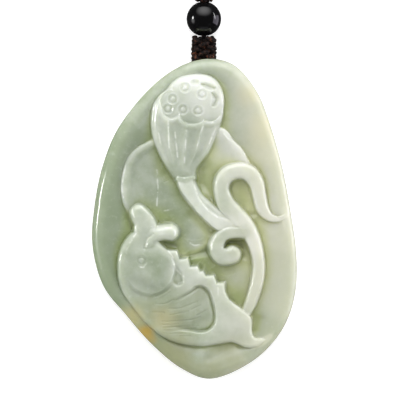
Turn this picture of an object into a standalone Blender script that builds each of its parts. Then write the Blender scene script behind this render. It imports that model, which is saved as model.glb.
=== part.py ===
"""A jade pendant plaque, carved with a carp under a lotus leaf and a seed pod, on its knotted cord.

The stone lies on its flat back, its carved face up and the top edge, where it hangs from, towards +Y.
The origin is on the floor in the middle of the stone. The carving is worked out as a height above
the back, from bands and closed outlines whose places are shares of the stone's own height.
"""
import math

import bmesh
import bpy
import numpy as np

# Driving sizes, in metres
MM = 0.001
STONE_WIDTH = 35.4 * MM
STONE_HEIGHT = 55.3 * MM
STONE_THICKNESS = 9.0 * MM
RELIEF_DEPTH = 4.2 * MM
LEFT_ROUNDING = 2.2 * MM
RIGHT_ROUNDING = 1.3 * MM
EDGE_LIP = 0.25 * MM
BACK_ROUNDING = 1.8 * MM
CARVED_CORNER = 0.22 * MM
THREAD_DIAMETER = 1.0 * MM
THREAD_CLEARANCE = 0.3 * MM
HOLE_DEPTH = 4.2 * MM
HOLE_SPACING = 3.0 * MM
BRAID_WIDTH = 3.7 * MM
BRAID_LENGTH = 3.4 * MM
BEAD_DIAMETER = 6.0 * MM
UPPER_KNOT_WIDTH = 2.9 * MM
UPPER_KNOT_LENGTH = 4.4 * MM
CORD_DIAMETER = 1.5 * MM
COIL_LAYERS = 4
COIL_COLUMNS = 4
COIL_INNER_DIAMETER = 10.5 * MM
COIL_DISTANCE = 22.8 * MM
PIECE_GAP = 0.3 * MM

# Places on the carving: hundredths of the stone's height, measured from its middle
WIDTH_UNITS = 64.0
HEIGHT_UNITS = 100.0
UNIT_X = STONE_WIDTH / WIDTH_UNITS
UNIT_Y = STONE_HEIGHT / HEIGHT_UNITS

# Where the cord leaves the stone's top edge, and the height of its line above the floor
HANG_X = 3.0 * UNIT_X
CORD_LINE = BEAD_DIAMETER / 2

STONE_OUTLINE = [
    (4.3, 50.0), (12.7, 47.8), (19.3, 40.1), (23.2, 30.9), (27.3, 16.8), (30.0, 2.7), (31.9, -11.4),
    (31.4, -23.9), (27.4, -34.8), (18.7, -44.2), (5.9, -50.0), (-3.8, -47.0), (-13.1, -39.5),
    (-21.4, -30.1), (-28.6, -20.8), (-31.9, -8.2), (-31.2, 4.3), (-28.6, 16.8), (-23.7, 28.5),
    (-14.5, 40.1), (-5.1, 47.3)]
LEAF_OUTLINE = [
    (-12.9, 24.9), (-17.6, 22.4), (-21.1, 18.4), (-22.8, 12.1), (-22.6, 6.5), (-20.8, 1.2),
    (-17.9, -4.2), (-9.8, -8.9), (-2.0, -11.8), (4.3, -8.2), (9.3, -7.9), (17.4, -1.0), (21.2, 7.1),
    (19.9, 13.4), (17.4, 17.4), (15.2, 21.5), (12.4, 24.3), (8.7, 28.4), (-2.3, 30.9)]
POD_OUTLINE = [
    (-13.4, 31.5), (-12.8, 35.3), (-11.0, 38.2), (-8.5, 40.4), (-6.7, 42.6), (-4.2, 44.2), (-0.7, 45.0),
    (3.0, 45.0), (5.9, 43.9), (7.9, 41.7), (9.1, 38.4), (9.1, 34.6), (8.5, 30.6), (7.1, 26.8),
    (4.6, 21.2), (1.5, 17.1), (0.4, 14.8), (0.4, 12.6), (-2.6, 11.6), (-5.4, 12.0), (-7.6, 14.6),
    (-10.4, 19.2), (-12.5, 24.0), (-13.4, 28.1)]
FISH_FRONT = [
    (-6.0, -9.8), (-8.2, -9.6), (-9.6, -8.5), (-11.4, -6.7), (-13.9, -4.2), (-16.4, -3.2), (-18.6, -4.0),
    (-20.4, -5.4), (-22.0, -7.6), (-23.3, -10.7), (-23.8, -14.5), (-23.6, -18.6), (-22.2, -23.1),
    (-19.5, -27.0), (-15.4, -32.2), (-10.4, -36.4), (-4.5, -38.9), (1.8, -39.7), (7.4, -39.1),
    (11.8, -38.6), (16.2, -40.2), (19.9, -39.9), (22.8, -38.1), (24.3, -36.1), (21.8, -37.1),
    (19.0, -36.9), (18.1, -35.1), (17.9, -31.1), (15.2, -28.4), (11.2, -25.4), (9.7, -22.9)]

# Rounded bands: x, y, half width, and the crest's level from 0, the deepest ground, to 1, the top
POD_STEM = [
    (-3.3, 14.0, 2.2, 0.56), (-2.7, 11.8, 2.7, 0.60), (-1.3, 8.8, 2.7, 0.61), (0.4, 6.2, 2.6, 0.61),
    (2.6, 4.0, 2.6, 0.62), (5.1, 1.7, 2.8, 0.66), (8.0, -0.6, 2.9, 0.72), (11.5, -2.4, 2.9, 0.76)]
STEM_FACET = [
    (-3.3, 14.0, 1.9, 0.62), (-2.8, 11.8, 2.3, 0.68), (-1.9, 9.0, 2.0, 0.69), (0.0, 5.9, 1.6, 0.68),
    (1.7, 3.5, 1.5, 0.69), (4.0, 1.4, 1.6, 0.72), (6.9, -0.9, 1.9, 0.77), (10.5, -2.6, 2.4, 0.79)]
POD_COLLAR = [(-5.0, 12.4, 0.7, 0.66), (-2.7, 12.1, 0.8, 0.715), (-0.4, 12.8, 0.7, 0.66)]
SCROLL = [
    (30.0, 2.6, 0.8, 0.50), (28.4, 0.8, 0.9, 0.53), (25.9, -0.1, 1.0, 0.58), (23.2, 0.7, 1.4, 0.64),
    (21.2, 3.3, 2.0, 0.70), (20.3, 7.1, 2.1, 0.74), (19.3, 11.2, 2.3, 0.77), (17.1, 14.1, 2.5, 0.79),
    (13.7, 14.9, 2.4, 0.80), (10.5, 13.8, 2.5, 0.80), (8.8, 11.5, 2.4, 0.80), (8.6, 8.4, 2.4, 0.79),
    (9.9, 4.6, 2.7, 0.79), (12.4, 1.5, 2.9, 0.80), (15.6, -2.0, 2.8, 0.82), (18.1, -6.0, 2.3, 0.81),
    (19.5, -10.4, 2.0, 0.79), (20.1, -15.1, 1.9, 0.76), (19.5, -20.1, 2.0, 0.70),
    (18.2, -24.5, 1.9, 0.65), (17.1, -27.3, 1.8, 0.62), (15.7, -30.0, 1.6, 0.58)]
CURL = [
    (15.6, -4.2, 2.0, 0.82), (13.1, -4.2, 1.8, 0.83), (10.5, -4.5, 1.8, 0.83), (8.4, -5.6, 2.0, 0.83),
    (7.1, -7.6, 2.3, 0.83), (7.1, -9.8, 2.4, 0.84), (8.4, -11.5, 2.6, 0.84), (10.2, -11.7, 2.6, 0.84),
    (11.8, -11.1, 2.7, 0.84)]

# The carp's lips, thick lobes that its body runs out into: x, y, half width
UPPER_LIP = [(-17.3, 1.8, 2.6), (-16.4, 0.4, 3.0), (-15.3, -1.7, 3.4), (-15.0, -4.5, 3.9)]
LOWER_LIP = [(-7.4, -4.2, 2.6), (-9.6, -4.2, 2.4), (-12.2, -5.0, 2.5), (-14.0, -7.4, 2.0)]
LIP_SWELL = 0.08
LIP_SWELL_WIDTH = 1.1 * MM

# Levels that a wide surface passes smoothly between: x, y, level
FISH_LEVELS = [
    (-17.0, 1.0, 0.84), (-7.5, -4.5, 0.86), (-13.5, -13.0, 1.03), (-14.5, -6.0, 0.86),
    (-21.5, -14.0, 0.88), (-19.0, -24.0, 0.80), (-5.5, -14.0, 0.84), (1.0, -18.0, 0.84),
    (8.0, -25.0, 0.82), (12.5, -31.0, 0.80), (17.0, -38.0, 0.70), (25.0, -36.0, 0.50),
    (4.0, -38.0, 0.74), (-8.0, -35.0, 0.76), (-5.0, -26.0, 0.84)]
GROUND_LEVELS = [
    (-22.0, 8.0, 0.42), (-17.0, 20.0, 0.36), (-13.0, 8.0, 0.26), (-9.0, 17.0, 0.14),
    (-7.0, 3.0, 0.20), (-19.0, -2.0, 0.24), (-6.0, -6.0, 0.24), (3.0, 14.0, 0.04), (6.5, 5.0, 0.22),
    (3.0, -3.5, 0.24), (8.5, 20.0, 0.22), (14.0, 23.0, 0.42), (11.0, 27.0, 0.42), (14.0, 8.0, 0.24),
    (1.5, -13.0, 0.18), (7.0, -17.0, 0.30), (13.0, -18.0, 0.34), (13.0, -24.0, 0.24),
    (11.5, -8.0, 0.12), (18.0, 0.0, 0.28)]
LEVEL_SPREAD = 4.2

# How widely the carp's edge rolls over, in millimetres: soft on head and belly, tight on fin and tail
FISH_EDGES = [
    (-21.0, -14.0, 1.2), (-14.0, -2.0, 1.0), (-18.0, -27.0, 1.2), (-5.0, -37.0, 1.0), (6.0, -38.0, 0.9),
    (-4.0, -11.0, 0.4), (1.0, -15.0, 0.4), (7.0, -18.5, 0.4), (10.0, -23.0, 0.5), (17.0, -30.0, 0.5),
    (18.0, -36.0, 0.5), (15.0, -40.0, 0.7)]

# The fin's teeth: their tips, and where the notch after each tip lies from it and from the next tip
FIN_TIPS = [(-5.4, -10.0), (-2.1, -12.2), (1.0, -14.6), (2.8, -16.1), (6.2, -17.5), (9.6, -19.7)]
NOTCH_RIGHT = 0.9
NOTCH_BELOW = 0.2

# The gill plate is a disc whose edge stands clear except towards the mouth, with a trough round it
GILL_CENTRE = (-13.7, -15.9)
GILL_RADIUS = 7.1
GILL_STEP = 0.04
GILL_TROUGH = 0.05
TROUGH_WIDTH = 3.6
GILL_FACING = (0.64, -0.77)
EYE = (-16.4, -13.1)
EYE_SOCKET = 1.45
EYE_RADIUS = 1.1
EYE_SINK = 0.035
EYE_RISE = 0.0

# The carp's flank and the hollow behind its gill plate sink towards their right-hand edges
FLANK_OUTLINE = [
    (-1.5, -21.9), (0.4, -20.5), (2.9, -20.5), (5.2, -22.5), (6.5, -26.2), (7.2, -30.0), (6.6, -33.2),
    (4.6, -35.2), (1.6, -35.8), (-0.9, -35.4), (-5.7, -34.9), (-11.4, -33.6), (-15.1, -28.6),
    (-13.2, -24.5), (-7.0, -24.5)]
FLANK_DEPTH = 0.30
FLANK_FADE = (-9.0, 5.0)
GILL_HOLLOW_OUTLINE = [
    (-5.9, -13.9), (-4.5, -15.4), (-3.1, -17.9), (-3.2, -20.3), (-5.4, -21.4), (-7.6, -19.2),
    (-6.5, -16.4)]
GILL_HOLLOW_DEPTH = 0.09
GILL_HOLLOW_FADE = (-9.0, -4.5)
HOLLOW_WALL = 0.7 * MM
HOLLOW_REACH = 1.7 * MM
HOLLOW_FLOOR = 0.15

# The pod: its crest's level at a few heights, and flutes that keep their place across it
POD_CRESTS = [(12.0, 0.76), (20.0, 0.81), (30.0, 0.88), (36.0, 0.91), (45.0, 0.88)]
POD_AXIS = -2.5
POD_ROUND = 4.4 * MM
FLUTE_ANGLE = math.radians(30.0)
FLUTE_DEPTH = 0.055
FLUTE_START = 13.0
FLUTE_RUN = 9.0

# The pod's open face is a few lobes, sunk towards the lower left, where it has a raised lip
POD_FACE = [
    [(-7.4, 36.7, 3.4), (-7.0, 34.0, 3.1)],
    [(-3.8, 40.6, 3.3), (-2.6, 40.6, 3.3)],
    [(0.8, 37.5, 6.4), (2.3, 37.2, 6.4)],
    [(-0.9, 33.4, 4.2), (-0.1, 33.4, 4.2)],
    [(4.8, 33.7, 3.8), (5.4, 34.0, 3.5)]]
FACE_CENTRE = (-1.3, 37.0)
FACE_FACING = (-0.45, -0.89)
FACE_SINK = 0.085
FACE_WALL = 0.3 * MM
LIP_WIDTH = 0.6 * MM
LIP_RISE = 0.022
SEEDS = [
    (-2.9, 40.8), (2.4, 38.7), (-6.7, 37.2), (-8.2, 34.2), (-3.5, 34.0), (1.2, 33.6)]
SEED_SOCKET = 1.75
SEED_RADIUS = 1.0
SEED_SINK = 0.04
SEED_RISE = 0.012
POD_HOLLOWS = [
    ([(-0.2, 42.5, 1.2), (0.6, 42.5, 1.2)], 0.06),
    ([(2.4, 41.9, 0.6), (4.4, 41.2, 1.3), (6.2, 40.7, 0.8)], 0.11),
    ([(5.7, 39.1, 0.6), (6.7, 37.4, 1.4), (6.1, 35.6, 1.2)], 0.11)]

# Hollows cut below what surrounds them: the stations of a band, and how deep its middle goes
GROUND_HOLLOWS = [
    ([(14.5, 10.7, 2.3), (14.8, 7.1, 2.7), (15.7, 3.7, 1.7)], 0.05),
    ([(2.7, 14.9, 2.3), (2.9, 11.2, 2.5), (5.2, 6.8, 2.0)], 0.08),
    ([(1.9, 15.9, 1.6), (1.9, 13.7, 1.7)], 0.06),
    ([(-1.3, 1.2, 2.3), (3.3, -2.9, 2.3), (4.9, -4.2, 1.9)], 0.06),
    ([(-1.3, -11.4, 1.6), (3.7, -10.1, 2.2)], 0.12),
    ([(10.5, -7.4, 1.6), (13.1, -6.7, 1.6), (14.9, -8.2, 1.5)], 0.10),
    ([(-20.4, 0.2, 2.8), (-19.2, -2.6, 2.2)], 0.06),
    ([(19.6, -34.5, 2.8), (20.3, -31.1, 2.8)], 0.09),
    ([(13.5, -39.8, 2.6), (9.5, -41.4, 3.4), (4.5, -43.4, 2.6)], 0.05),
    ([(-9.2, -7.4, 1.6), (-5.7, -8.4, 1.7)], 0.07),
    ([(16.5, 0.8, 1.9), (19.9, 2.1, 1.6)], 0.07)]

RIM_LEVEL = 0.52
FOOT_LEVEL = 0.28
RIM_FLAT = 1.6 * MM
NEARNESS = 0.8 * MM
GROUND_FALL = 2.2
LEAF_RISE = 0.09
LEAF_CREST = 0.8 * MM
LEAF_RIM_WIDTH = 2.1 * MM
LEAF_LOBE_WIDTH = 5.5 * MM
LEAF_LOBE_START = 9.0
LEAF_PLAIN_X = -5.0
LEAF_PLAIN_Y = 10.0
LEAF_EDGE = 0.7 * MM
INNER_START = 5.0 * MM
INNER_END = 9.0 * MM
EDGE_ROLL = 0.22
ROUND_ROLL = 0.20
POD_ROLL = 0.36
LEAF_ROLL = 0.10
FACET_ROLL = 0.06
RIBBON_ROUND = 0.5
WALL_SLOPE = 4.5
MOTIF_REACH = 9.0 * MM

# Fineness of the meshes
GRID_COLUMNS = 150
GRID_ROWS = 234
CURVE_STEPS = 8
RIM_STEPS = 5
STONE_TRIANGLES = 7200
ROUND_SIDES = 28
BEAD_STEPS = 12
CORD_POINTS = 18


def catmull_rom(points, steps, closed):
    """Values along a smooth curve through the given points, whatever number of values each has."""
    p = np.array(points, dtype=float)
    if closed:
        p = np.vstack([p[-1], p, p[0], p[1]])
    else:
        p = np.vstack([2 * p[0] - p[1], p, 2 * p[-1] - p[-2]])
    curve = []
    for a, b, c, d in zip(p[:-3], p[1:-2], p[2:-1], p[3:]):
        for t in np.arange(steps) / steps:
            curve.append(0.5 * (2 * b + (c - a) * t + (2 * a - 5 * b + 4 * c - d) * t ** 2
                                + (3 * b - a - 3 * c + d) * t ** 3))
    if not closed:
        curve.append(p[-2])
    return np.array(curve)


def segment_distance(x, y, a, b):
    """Distance from every point to the segment a-b, and how far along it the nearest place is."""
    run = b[:2] - a[:2]
    along = ((x - a[0]) * run[0] + (y - a[1]) * run[1]) / max(run @ run, 1e-18)
    along = np.clip(along, 0.0, 1.0)
    return np.hypot(x - a[0] - along * run[0], y - a[1] - along * run[1]), along


def in_metres(points):
    """Places in units turned into metres, with any half width scaled by the height's unit."""
    p = np.array(points, dtype=float)
    p[:, 0] *= UNIT_X
    p[:, 1:3] *= UNIT_Y
    return p


def closed_curve(points):
    """A smooth closed outline through places in units, in metres."""
    return catmull_rom(in_metres(points), CURVE_STEPS, closed=True)


def stone_curve():
    """The stone's outline, scaled to its exact width and height."""
    curve = catmull_rom(in_metres(STONE_OUTLINE), 2 * CURVE_STEPS, closed=True)
    low, high = curve.min(axis=0), curve.max(axis=0)
    return (curve - (low + high) / 2) * [STONE_WIDTH, STONE_HEIGHT] / (high - low)


def outline_depth(x, y, curve, reach=STONE_HEIGHT):
    """How far each point lies inside a closed curve, below zero outside it, down to -reach."""
    low, high = curve.min(axis=0) - reach, curve.max(axis=0) + reach
    near = (x > low[0]) & (x < high[0]) & (y > low[1]) & (y < high[1])
    near_x, near_y = x[near], y[near]
    nearest = np.full(near_x.shape, reach)
    inside = np.zeros(near_x.shape, dtype=bool)
    for a, b in zip(curve, np.roll(curve, -1, axis=0)):
        nearest = np.minimum(nearest, segment_distance(near_x, near_y, a, b)[0])
        if a[1] != b[1]:
            crosses = (a[1] > near_y) != (b[1] > near_y)
            inside ^= crosses & (near_x < a[0] + (near_y - a[1]) * (b[0] - a[0]) / (b[1] - a[1]))
    depth = np.full(x.shape, -reach)
    depth[near] = np.where(inside, nearest, -nearest)
    return depth


def band_depth(x, y, stations, reach=0.0):
    """How far each point lies inside a band of changing width, and the band's values there."""
    curve = catmull_rom(in_metres(stations), CURVE_STEPS, closed=False)
    margin = reach + curve[:, 2].max()
    low, high = curve[:, :2].min(axis=0) - margin, curve[:, :2].max(axis=0) + margin
    near = (x > low[0]) & (x < high[0]) & (y > low[1]) & (y < high[1])
    depth = np.full(x.shape, -max(reach, MM))
    values = np.ones((curve.shape[1] - 2,) + x.shape) * MM
    near_x, near_y = x[near], y[near]
    best, kept = depth[near], values[:, near]
    for a, b in zip(curve[:-1], curve[1:]):
        distance, along = segment_distance(near_x, near_y, a, b)
        here = a[2:, None] * (1 - along) + b[2:, None] * along
        better = here[0] - distance > best
        best = np.where(better, here[0] - distance, best)
        kept = np.where(better, here, kept)
    depth[near] = best
    values[:, near] = kept
    return depth, values


def smooth_step(t):
    """A smooth rise from 0 to 1 as t goes from 0 to 1."""
    t = np.clip(t, 0.0, 1.0)
    return t * t * (3 - 2 * t)


def join(a, b, corner=CARVED_CORNER / RELIEF_DEPTH):
    """The higher of two surfaces, with the corner between them filled in a little."""
    mix = np.clip(0.5 + 0.5 * (a - b) / corner, 0.0, 1.0)
    return b * (1 - mix) + a * mix + corner * mix * (1 - mix)


def blended(x, y, levels):
    """A smooth surface through a few levels, each felt most near its own place."""
    total = np.zeros(x.shape)
    weights = np.full(x.shape, 1e-12)
    spread = LEVEL_SPREAD * UNIT_Y
    for place_x, place_y, level in levels:
        away = ((x - place_x * UNIT_X) ** 2 + (y - place_y * UNIT_Y) ** 2) / spread ** 2
        weight = np.exp(-away) + 1e-4 / (1 + away)
        total += weight * level
        weights += weight
    return total / weights


def rounded(depth, edge, level, roll):
    """A form at a level, its edge rolling down over a width, with a steep wall outside it."""
    share = np.clip(depth / edge, 0.0, 1.0)
    top = level - roll * (1 - np.sqrt(1 - (1 - share) ** 2))
    return np.where(depth > 0, top, level - roll + WALL_SLOPE * depth / RELIEF_DEPTH)


def band_form(x, y, stations, roll, reach=MOTIF_REACH):
    """A ribbon with a rounded back."""
    depth, (width, level) = band_depth(x, y, stations, reach)
    return rounded(depth, RIBBON_ROUND * width, level, roll), depth


def hollows(x, y, cuts):
    """The depth that a set of hollows takes away."""
    total = np.zeros(x.shape)
    for stations, amount in cuts:
        depth, (width,) = band_depth(x, y, stations)
        total = np.maximum(total, amount * smooth_step(depth / width))
    return total


def scooped(x, y, outline, amount, fade):
    """A hollow with a steep wall along its outline, rising inwards and fading out to the left."""
    depth = outline_depth(x, y, closed_curve(outline), MM)
    rise = (1 - HOLLOW_FLOOR) * smooth_step(depth / HOLLOW_REACH)
    profile = smooth_step(depth / HOLLOW_WALL) * (1 - rise)
    return amount * profile * smooth_step((x / UNIT_X - fade[0]) / (fade[1] - fade[0]))


def stud(x, y, place, socket, radius, sink, rise):
    """A small dome in a ringed socket, as a height to add."""
    away = np.hypot(x - place[0] * UNIT_X, y - place[1] * UNIT_Y) / UNIT_Y
    dome = (sink + rise) * smooth_step(1.6 * (1 - away / radius))
    return dome - sink * smooth_step(3 * (1 - away / socket))


def fish_curve():
    """The carp's outline in metres: a smooth front, and the fin's teeth stepping along its back."""
    fin = [FIN_TIPS[0]]
    for tip, after in zip(FIN_TIPS[:-1], FIN_TIPS[1:]):
        fin += [(tip[0] + NOTCH_RIGHT, after[1] - NOTCH_BELOW), after]
    front = catmull_rom(in_metres(FISH_FRONT), CURVE_STEPS, closed=False)
    return np.vstack([front, in_metres(fin[::-1])])


def leaf_form(x, y, surface):
    """The lotus leaf: the inner ground with a raised, rounded edge."""
    depth = outline_depth(x, y, closed_curve(LEAF_OUTLINE), MOTIF_REACH)
    right_lobe = smooth_step(x / UNIT_X / LEAF_LOBE_START)
    width = LEAF_RIM_WIDTH + (LEAF_LOBE_WIDTH - LEAF_RIM_WIDTH) * right_lobe
    left, top = (LEAF_PLAIN_X - x / UNIT_X) / 6, (y / UNIT_Y - LEAF_PLAIN_Y) / 6
    raised = np.maximum(smooth_step(left), smooth_step(top))
    edge = LEAF_RISE * raised * (1 - smooth_step((depth - LEAF_CREST) / (width - LEAF_CREST)))
    return rounded(depth, LEAF_EDGE, surface + edge, LEAF_ROLL), depth


def pod_across(x, y, curve):
    """Place across the pod, from -1 at its left side to 1 at its right."""
    sides = []
    for side in (-1, 1):
        points = curve[(curve[:, 0] - POD_AXIS * UNIT_X) * side > 0]
        points = points[np.argsort(points[:, 1])]
        sides.append(np.interp(y, points[:, 1], points[:, 0]))
    left, right = sides
    return np.clip((2 * x - left - right) / np.maximum(right - left, MM), -1.0, 1.0)


def face_depth(x, y):
    """How far each point lies inside the pod's open face, which is a few lobes run together."""
    return np.max([band_depth(x, y, lobe, 2 * MM)[0] for lobe in POD_FACE], axis=0)


def pod_face(x, y, pod, face):
    """The pod's surface with its open face sunk, a lip along the lower left, and seeds in their sockets."""
    lowness = (x / UNIT_X - FACE_CENTRE[0]) * FACE_FACING[0] + (y / UNIT_Y - FACE_CENTRE[1]) * FACE_FACING[1]
    fade = smooth_step((lowness + 4) / 8)
    lip = smooth_step(1 - np.abs(face / LIP_WIDTH + 0.5))
    pod = pod + fade * (LIP_RISE * lip - FACE_SINK * smooth_step(face / FACE_WALL))
    for seed in SEEDS:
        pod = pod + stud(x, y, seed, SEED_SOCKET, SEED_RADIUS, SEED_SINK, SEED_RISE)
    return pod - hollows(x, y, POD_HOLLOWS)


def pod_form(x, y):
    """The lotus pod: a fluted funnel with an open, seeded face."""
    curve = closed_curve(POD_OUTLINE)
    inside = outline_depth(x, y, curve, MOTIF_REACH)
    heights, levels = zip(*POD_CRESTS)
    pod = rounded(inside, POD_ROUND, np.interp(y / UNIT_Y, heights, levels), POD_ROLL)
    turn = np.arcsin(pod_across(x, y, curve)) / FLUTE_ANGLE
    fluted = smooth_step(inside / MM) * smooth_step((y / UNIT_Y - FLUTE_START) / FLUTE_RUN)
    face = face_depth(x, y)
    fluted *= smooth_step(-face / MM)
    pod = pod - FLUTE_DEPTH * np.abs(np.sin(math.pi * turn)) * fluted
    return pod_face(x, y, pod, face), inside


def gill_plate(x, y):
    """The step up to the gill plate and the trough round it, as a height to add."""
    to_x, to_y = x - GILL_CENTRE[0] * UNIT_X, y - GILL_CENTRE[1] * UNIT_Y
    away = np.hypot(to_x, to_y)
    facing = (to_x * GILL_FACING[0] + to_y * GILL_FACING[1]) / np.maximum(away, 0.01 * MM)
    free = smooth_step((facing + 0.6) / 1.0)
    outside = (away / UNIT_Y - GILL_RADIUS) / TROUGH_WIDTH
    trough = GILL_TROUGH * smooth_step(outside * 4) * (1 - smooth_step(outside * 1.25 - 0.25))
    step = GILL_STEP * (1 - smooth_step(outside * 2.5))
    return free * (step - trough) + GILL_STEP * (1 - free)


def fish_form(x, y):
    """The carp: a curled body with a hollowed flank, a toothed back, a gill plate and thick lips."""
    upper = band_depth(x, y, UPPER_LIP, MOTIF_REACH)[0]
    lower = band_depth(x, y, LOWER_LIP, MOTIF_REACH)[0]
    inside = np.max([outline_depth(x, y, fish_curve(), MOTIF_REACH), upper, lower], axis=0)
    level = blended(x, y, FISH_LEVELS) - GILL_STEP + gill_plate(x, y)
    level = level - scooped(x, y, FLANK_OUTLINE, FLANK_DEPTH, FLANK_FADE)
    level = level - scooped(x, y, GILL_HOLLOW_OUTLINE, GILL_HOLLOW_DEPTH, GILL_HOLLOW_FADE)
    level = level + stud(x, y, EYE, EYE_SOCKET, EYE_RADIUS, EYE_SINK, EYE_RISE)
    level = level + LIP_SWELL * smooth_step(lower / LIP_SWELL_WIDTH)
    return rounded(inside, blended(x, y, FISH_EDGES) * MM, level, EDGE_ROLL), inside


def edge_radius(x):
    """The radius that the stone's edge is rounded to, fuller on its left side."""
    return LEFT_ROUNDING + (RIGHT_ROUNDING - LEFT_ROUNDING) * smooth_step(x / STONE_WIDTH + 0.5)


def edge_drop(x, depth):
    """How far the rolled edge has fallen below the carving, at a depth inside the stone's outline."""
    share = np.clip(1 - depth / edge_radius(x), 0.0, 1.0)
    return edge_radius(x) * (1 - np.sqrt(1 - share ** 2))


def relief(x, y):
    """Height of the carved face above the back."""
    shapes = [band_form(x, y, POD_STEM, ROUND_ROLL), band_form(x, y, STEM_FACET, FACET_ROLL),
              band_form(x, y, SCROLL, ROUND_ROLL), band_form(x, y, CURL, ROUND_ROLL), pod_form(x, y),
              band_form(x, y, POD_COLLAR, FACET_ROLL), fish_form(x, y)]
    inner = blended(x, y, GROUND_LEVELS)
    leaf, leaf_inside = leaf_form(x, y, inner)
    insides = [leaf_inside] + [inside for form, inside in shapes]
    closeness = sum(np.exp(inside / NEARNESS) for inside in insides)
    to_motif = np.maximum(-NEARNESS * np.log(closeness), 0.0)
    stone_depth = outline_depth(x, y, stone_curve())
    from_rim = np.maximum(stone_depth - RIM_FLAT, 0.0)
    share = from_rim / (from_rim + to_motif + 0.5 * MM)
    slope = RIM_LEVEL - (RIM_LEVEL - FOOT_LEVEL) * share ** GROUND_FALL
    deep = smooth_step((from_rim - INNER_START) / (INNER_END - INNER_START))
    ground = slope + (np.minimum(inner, slope) - slope) * deep
    level = join(ground, leaf) - hollows(x, y, GROUND_HOLLOWS)
    for form, inside in shapes:
        level = join(level, form)
    height = STONE_THICKNESS - RELIEF_DEPTH * (1 - np.clip(level, -0.2, 1.0))
    return height - edge_drop(x, stone_depth)


def stone_rim():
    """The stone's outline as angle, x, y and outward normal."""
    curve = stone_curve()
    tangent = np.roll(curve, -1, axis=0) - np.roll(curve, 1, axis=0)
    normal = np.stack([-tangent[:, 1], tangent[:, 0]], axis=1)
    normal /= np.linalg.norm(normal, axis=1)[:, None]
    angle = np.arctan2(curve[:, 1] / STONE_HEIGHT, curve[:, 0] / STONE_WIDTH)
    order = np.argsort(angle)
    return angle[order], np.hstack([curve, normal])[order]


def rim_rings(lip_x, lip_z, steps):
    """Insets and heights of the rings from the carved face's border to the back's edge."""
    radius = edge_radius(lip_x)
    start = np.arcsin(1 - EDGE_LIP / radius)
    rings = []
    for share in np.arange(1, steps + 1) / steps:
        turn = start + (math.pi / 2 - start) * share
        rings.append((radius * (1 - np.sin(turn)), lip_z - radius * (np.cos(start) - np.cos(turn))))
    for share in np.arange(0, steps + 1) / steps:
        turn = math.pi / 2 * share
        inset = BACK_ROUNDING * (1 - math.cos(turn))
        rings.append((inset, np.full(lip_x.shape, BACK_ROUNDING * (1 - math.sin(turn)))))
    return rings


def rim_place(angle, inset, rim):
    """Points at given angles on the outline, moved inwards by an inset."""
    angles, table = rim
    x, y, nx, ny = [np.interp(angle, angles, table[:, i], period=2 * math.pi) for i in range(4)]
    return x - inset * nx, y - inset * ny


def add_material(obj, name, colour, roughness, metallic=0.0):
    """Give an object a plain material of its own."""
    material = bpy.data.materials.new(name)
    material.use_nodes = True
    shader = material.node_tree.nodes["Principled BSDF"]
    shader.inputs["Base Color"].default_value = (*colour, 1.0)
    shader.inputs["Roughness"].default_value = roughness
    shader.inputs["Metallic"].default_value = metallic
    obj.data.materials.append(material)


def add_object(name, data, collection):
    """Put mesh or curve data into the scene as a named object."""
    obj = bpy.data.objects.new(name, data)
    collection.objects.link(obj)
    return obj


def baked(obj, name, collection):
    """The object as its modifiers leave it, as a mesh of its own, in the old object's place."""
    evaluated = obj.evaluated_get(bpy.context.evaluated_depsgraph_get())
    mesh = bpy.data.meshes.new_from_object(evaluated)
    bpy.data.objects.remove(obj)
    return add_object(name, mesh, collection)


def stone_blank(collection):
    """The whole stone at full fineness: its carved face, rolled rim, side and flat back."""
    bm = bmesh.new()
    bmesh.ops.create_grid(bm, x_segments=GRID_COLUMNS, y_segments=GRID_ROWS, size=1.0)
    bm.verts.ensure_lookup_table()
    square = np.array([v.co[:2] for v in bm.verts])
    disc_x = square[:, 0] * np.sqrt(1 - square[:, 1] ** 2 / 2)
    disc_y = square[:, 1] * np.sqrt(1 - square[:, 0] ** 2 / 2)
    angle = np.arctan2(disc_y, disc_x)
    radius = np.hypot(disc_x, disc_y)
    rim = stone_rim()
    x, y = rim_place(angle, EDGE_LIP, rim)
    x, y = x * radius, y * radius
    z = relief(x, y)
    number_layer = bm.verts.layers.int.new("number")
    for number, (vert, place) in enumerate(zip(bm.verts, np.stack([x, y, z], axis=1))):
        vert.co = place
        vert[number_layer] = number

    for inset, level in rim_rings(x, z, RIM_STEPS):
        ring_x, ring_y = rim_place(angle, inset, rim)
        border = [edge for edge in bm.edges if edge.is_boundary]
        added = bmesh.ops.extrude_edge_only(bm, edges=border)["geom"]
        for vert in [item for item in added if isinstance(item, bmesh.types.BMVert)]:
            number = vert[number_layer]
            vert.co = (ring_x[number], ring_y[number], level[number])
    bmesh.ops.edgeloop_fill(bm, edges=[edge for edge in bm.edges if edge.is_boundary])
    bmesh.ops.recalc_face_normals(bm, faces=bm.faces)
    mesh = bpy.data.meshes.new("jade_plaque")
    bm.to_mesh(mesh)
    bm.free()
    return add_object("jade_plaque_blank", mesh, collection)


def add_tube(name, route, diameter, collection):
    """A round cord along a smooth curve through the route's points."""
    points = catmull_rom(route, round(CORD_POINTS / (len(route) - 1)), closed=False)
    data = bpy.data.curves.new(name, "CURVE")
    data.dimensions = "3D"
    data.bevel_depth = diameter / 2
    data.bevel_resolution = 2
    data.use_fill_caps = True
    spline = data.splines.new("POLY")
    spline.points.add(len(points) - 1)
    for point, place in zip(spline.points, points):
        point.co = (*place, 1.0)
    return add_object(name, data, collection)


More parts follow.
